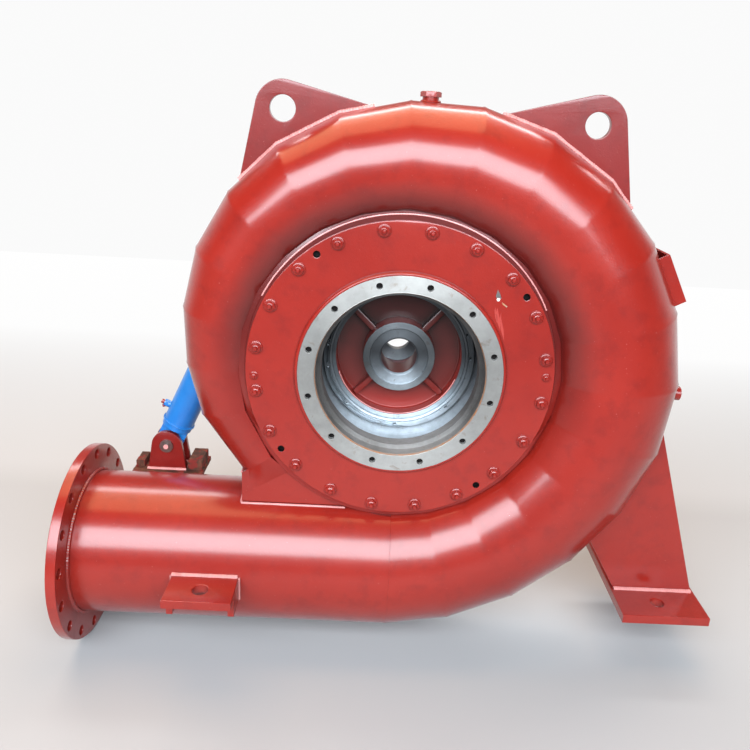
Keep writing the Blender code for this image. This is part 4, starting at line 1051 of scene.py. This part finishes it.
def servo_bracket():
    bm = bmesh.new()
    low = -0.4707
    outline = [(FOOT[0] - 0.0605, low), (FOOT[0] + 0.0605, low), *arc(FOOT, 0.048, 8, 172, 28)]
    for near, far in ((-0.037, -0.021), (0.021, 0.037)):
        slab(bm, outline, [circle(SERVO_PIN + GAP, FOOT, 40)], SERVO_Y + near, SERVO_Y + far)
    for x in RIB_PLACES:
        slab(bm, rib_outline(), [], x - 0.007, x + 0.007, 0.0012, on_x)
    piece("servo_cheeks", bm, SHADED_RED, ["servo_cheek_front", "servo_cheek_rear", "servo_rib_1", "servo_rib_2"])
    bm = bmesh.new()
    for y in (SERVO_Y + near for near in (-0.0385, -0.0195, 0.0195, 0.0385)):
        bead(bm, [(FOOT[0] - 0.062, y, low + 0.0014), (FOOT[0] + 0.062, y, low + 0.0014)], 0.0055)
    foot = [(y, z) for y, z in rib_outline() if abs(hypot(y, z - PIPE_Z) - PIPE_RADIUS) < 0.002]
    for x in RIB_PLACES:
        for side in (-0.0085, 0.0085):
            bead(bm, [(x + side, y, z) for y, z in foot], 0.0035)
    piece("servo_welds", bm, HIGHLIGHT_RED)

    bm = bmesh.new()
    pin(bm, FOOT, SERVO_Y - 0.041, SERVO_Y + 0.041, SERVO_PIN)
    # The small end pin on each side is in the pale red, finish 1: a painted highlight
    for side in (-1, 1):
        for near, far, *thick in (
            (0.0373, 0.0425, 0.021, 40, 0, 0.002), (0.0420, 0.0440, SERVO_PIN, 40, 0, 0.0015),
            (0.0420, 0.0465, 0.0075, 24, 1, 0.002),
        ):
            pin(bm, FOOT, SERVO_Y + side * near, SERVO_Y + side * far, *thick)
    stand_in("servo_pin", bm, [STEEL, HIGHLIGHT_RED])

    bm = bmesh.new()
    for left, right, front, back, low, high, soft in (
        (-0.822, -0.598, 0.173, 0.305, -0.487, -0.471, 0.0012),
        (-0.648, -0.602, 0.196, 0.292, -0.4712, -0.437, 0.0015),
        (-0.816, -0.788, 0.205, 0.272, -0.4712, -0.4480, 0.0012),
    ):
        outline = rectangle(left, right, front, back)
        slab(bm, rough_edge(outline), [], low, high, soft, on_z)
    piece("servo_base_plate", bm, RUST, ["servo_base"])


def rib_outline():
    """A rib under the servomotor's base, from the pipe's side, as (y, z) points."""
    near = PIPE_RADIUS + GAP
    low, high = -0.628, -0.4873
    ends = [degrees(asin((z - PIPE_Z) / near)) for z in (high, low)]
    return [*arc((0, PIPE_Z), near, *ends, 16), (0.285, low), (0.285, high)]


def rough_edge(outline):
    """A flame-cut outline: many points, moved in a little by noise."""
    points = [p.to_2d() for p in evenly([(*p, 0) for p in outline], 0.004, True)]
    centre = sum(points, Vector((0, 0))) / len(points)
    inwards = [0.0012 + 0.0012 * noise.noise(Vector((p.x * 90, p.y * 90, 3))) for p in points]
    return [tuple(p + (centre - p).normalized() * far) for p, far in zip(points, inwards)]


# Plates that carry and lift

def lug(bm, welds, hole, round_radius, side_angle, top_angle):
    """A lug whose edges run from the spiral's rim to a rounded corner round the hole, and its welds."""
    way = 1 if hole[0] > 0 else -1
    ends = []
    for angle, turn in ((side_angle, -way), (top_angle, way)):
        x, z = rim_point(angle)
        lean = degrees(asin(round_radius / hypot(hole[0] - x, hole[1] - z)))
        ends.append(degrees(atan2(hole[1] - z, hole[0] - x)) + turn * (lean + 90))
    corner = arc(hole, round_radius, ends[0] % 360, ends[1] % 360, 28)
    rim = rim_line(top_angle, side_angle)
    slab(bm, corner + rim, [circle(0.033, hole)], -0.010, 0.010)
    for y in (-0.0115, 0.0115):
        bead(welds, [(x, y, z) for x, z in rim], 0.0075)


def lugs(welds):
    left = (-0.333, 0.6585), 0.070, 133.0, 98.5
    right = (0.4666, 0.659), 0.0744, 38.0, 71.5
    for side, shape in (("left", left), ("right", right)):
        bm = bmesh.new()
        lug(bm, welds, *shape)
        piece(f"{side}_lug_plate", bm, SHADED_RED, [f"{side}_lifting_lug"])


def leg(welds):
    left, right, low = 0.698, 0.937, -0.6947
    bm = bmesh.new()
    rim = rim_line(-10.5, -40.7)
    slab(bm, [(right, low), *rim, (left, low)], [], -0.012, 0.012)
    stand_in("leg_plate", bm, RED)
    bm = bmesh.new()
    slab(bm, [(0.0123, low), (0.252, low), (0.252, low + 0.03), (0.0123, -0.400)], [], 0.735, 0.755, spot=on_x)
    stand_in("leg_gusset", bm, RED)
    bm = bmesh.new()
    slab(bm, rectangle(0.690, 0.945, -0.138, 0.262),
         [circle(0.020, (0.812, y), 40) for y in (-0.074, 0.190)], -0.723, -0.695, 0.0025, on_z)
    piece("leg_base_plate", bm, RED, ["leg_base"])
    for y in (-0.0135, 0.0135):
        bead(welds, [(x, y, z) for x, z in rim], 0.0070)
        bead(welds, [(left, y, low), (right, y, low)], 0.0075)
    for x in (0.7335, 0.7565):
        bead(welds, [(x, 0.014, low), (x, 0.250, low)], 0.005)
        bead(welds, [(x, 0.0135, low), (x, 0.0135, -0.405)], 0.0045)


def pipe_brackets(welds):
    """A foot plate on each side of the pipe, with a rib under each end."""
    bm = bmesh.new()
    left, right, top, low = -0.594, -0.412, -0.580, -0.605
    for way in (-1, 1):
        inner = way * sqrt((PIPE_RADIUS + GAP) ** 2 - (top - PIPE_Z) ** 2)
        outline = rectangle(left, right, inner, way * 0.314)
        slab(bm, outline, [circle(0.021, (-0.503, way * 0.262), 40)], low, top, 0.0025, on_z)
        reach = way * sqrt((PIPE_RADIUS + GAP) ** 2 - (low - 0.025 - PIPE_Z) ** 2)
        rib = [(reach, low - 0.050), (way * 0.269, low - 0.050), (way * 0.269, low + 0.003),
               (way * (PIPE_RADIUS + 0.0004), low + 0.003)]
        for x in (left, right - 0.018):
            slab(bm, rib, [], x, x + 0.018, 0.0015, on_x)
        edge = way * (sqrt(PIPE_RADIUS**2 - (top + 0.001 - PIPE_Z) ** 2) + 0.001)
        bead(welds, [(left, edge, top + 0.001), (right, edge, top + 0.001)], 0.0065)
        for x in (left - 0.0015, right + 0.0015):
            bead(welds, [(x, way * 0.2045, top), (x, way * 0.2045, low - 0.045)], 0.004)
    piece("pipe_brackets", bm, RED, ["front_pipe_bracket", "rear_pipe_bracket"])


def plates():
    welds = bmesh.new()
    lugs(welds)
    leg(welds)
    pipe_brackets(welds)
    piece("plate_welds", welds, HIGHLIGHT_RED)


# Small fittings on the rim

def fittings():
    bm = bmesh.new()
    x, z = rim_point(degrees(acos(0.038 / hypot(*rim_point(87)))))
    lathe(bm, rectangle(0, 0.021, -0.006, 0.014), 40, 0.001, "Z", (x, 0, z))
    nut(bm, (x, 0, z + 0.012), UP, 0.0465, 0.0132, 0.2)
    lathe(bm, rectangle(0, 0.012, 0.0245, 0.0258), 32, 0.0002, "Z", (x, 0, z))
    bead(bm, hoop((x, 0, z + 0.0002), 0.0225, (1, 0, 0), BACKWARDS), 0.004, True)
    piece("vent_plug", bm, RED, ["vent_socket"])

    bm = bmesh.new()
    outline = [(0.7325, -0.058), (0.767, -0.058), (0.767, 0.045), (0.7365, 0.045), (0.7375, 0.039), (0.761, 0.039),
               (0.761, -0.052), (0.7345, -0.052)]
    slab(bm, outline, [], -0.1448, -0.0054, 0.001, radial(27.5))
    stand_in("side_channel", bm, RED)

    bm = bmesh.new()
    start, end, base = [Vector((*rim_point(-3.9, out), 0)).xzy for out in (-0.004, 0.028, 0.0005)]
    bar(bm, start, end, 0.020, 40, soft=0.002)
    out = (end - start).normalized()
    one = out.orthogonal().normalized()
    bead(bm, hoop(base, 0.0215, one, out.cross(one)), 0.004, True)
    stand_in("pressure_tap", bm, RED)


# Floor, light and camera

# The sky's colours by height, in front of the turbine and behind it
FRONT_SKY = (0.0, 0.20), (0.15, (0.14, 0.14, 0.15)), (0.30, 0.03), (1.0, 0.03)
BACK_SKY = (0.0, 0.96), (0.20, 0.96), (0.32, (0.16, 0.12, 0.10)), (1.0, 0.03)
# Name, place and aim from the shaft, width, height, power and colour
LAMPS = (
    ("front", (-0.3, -4.7, 2.6), (0, 0, 0), 8.0, 3.0, 1080, (0.84, 0.92, 1.0)),
    ("overhead", (-0.8, 0.5, 4.0), (-0.8, 0, 0), 5.0, 3.2, 190, (1.0, 0.60, 0.32)),
    ("backdrop", (0.0, 2.2, 3.4), (0, 3.4, -0.7), 8.0, 0.8, 260, (1.0, 1.0, 1.0)),
)


def stage():
    """A floor that glows like the sky far behind the turbine, the sky, and the lamps."""
    bm = bmesh.new()
    bmesh.ops.create_grid(bm, x_segments=1, y_segments=1, size=5.5)
    floor = add("pale_floor", mesh_from(bm, "pale_floor"))
    floor.location.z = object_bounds()[0][2] - 0.0005
    n = look("pale_floor_look")
    _, y, _ = n.axes()
    depth = n.math("MULTIPLY_ADD", y, 0.1, 0.5)
    pale = n.steps(depth, (0.20, 0.10), (0.40, 0.35), (0.60, 0.35), (0.80, 0.0))
    n.link(n.steps(depth, (0.58, 0.0), (0.80, 0.96)), n.shader.inputs["Emission Color"])
    n.shader.inputs["Emission Strength"].default_value = 1.0
    floor.data.materials.append(n.finish(pale, specular=0.1))
    floor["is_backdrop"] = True

    world = bpy.data.worlds.new("studio")
    bpy.context.scene.world = world
    sky = Nodes(world, "Generated")
    _, y, z = sky.axes()
    behind = sky.new("ShaderNodeMapRange")
    sky.fill([behind.inputs[key] for key in ("Value", "From Min", "From Max")], (y, -0.1, 0.4))
    both = sky.mix(behind.outputs[0], sky.steps(z, *FRONT_SKY), sky.steps(z, *BACK_SKY))
    sky.link(both, sky.tree.nodes["Background"].inputs[0])
    bpy.context.scene.view_settings.view_transform = "Standard"

    for name, where, aim, wide, high, power, color in LAMPS:
        lamp = bpy.data.lights.new(name, "AREA")
        lamp.shape = "RECTANGLE"
        lamp.size, lamp.size_y = wide, high
        lamp.energy, lamp.color = power, color
        made = add(name, lamp)
        made.location = SHAFT + Vector(where)
        made.rotation_euler = (Vector(aim) - Vector(where)).to_track_quat("-Z", "Y").to_euler()


def camera():
    """The camera fitted to the photo, with its focal length and centre in pixels of the square picture."""
    picture, focal, centre_x, centre_y = 750, 732.76, 385.84, 334.65
    yaw, pitch, roll = 0.0211, -0.2917, 0.0563
    place = Vector((-0.0824, -1.9370, 0.6574))
    ahead = Vector((sin(yaw) * cos(pitch), cos(yaw) * cos(pitch), sin(pitch)))
    right = Vector((cos(yaw), -sin(yaw), 0))
    up = right.cross(ahead)
    right, up = cos(roll) * right + sin(roll) * up, cos(roll) * up - sin(roll) * right
    view = bpy.data.cameras.new("camera")
    view.sensor_width = 36
    view.lens = view.sensor_width * focal / picture
    view.shift_x = (picture / 2 - centre_x) / picture
    view.shift_y = (centre_y - picture / 2) / picture
    made = add("camera", view)
    made.matrix_world = Matrix.Translation(SHAFT + place) @ Matrix((right, up, -ahead)).transposed().to_4x4()
    bpy.context.scene.camera = made


spiral()
inlet()
stay_ring()
cover_step()
tongue()
fairing()
front_cover()
paint_damage()
draft_ring()
back_cover()
housing()
guide_vanes()
drive()
servomotor()
servo_bracket()
plates()
fittings()
stage()
camera()
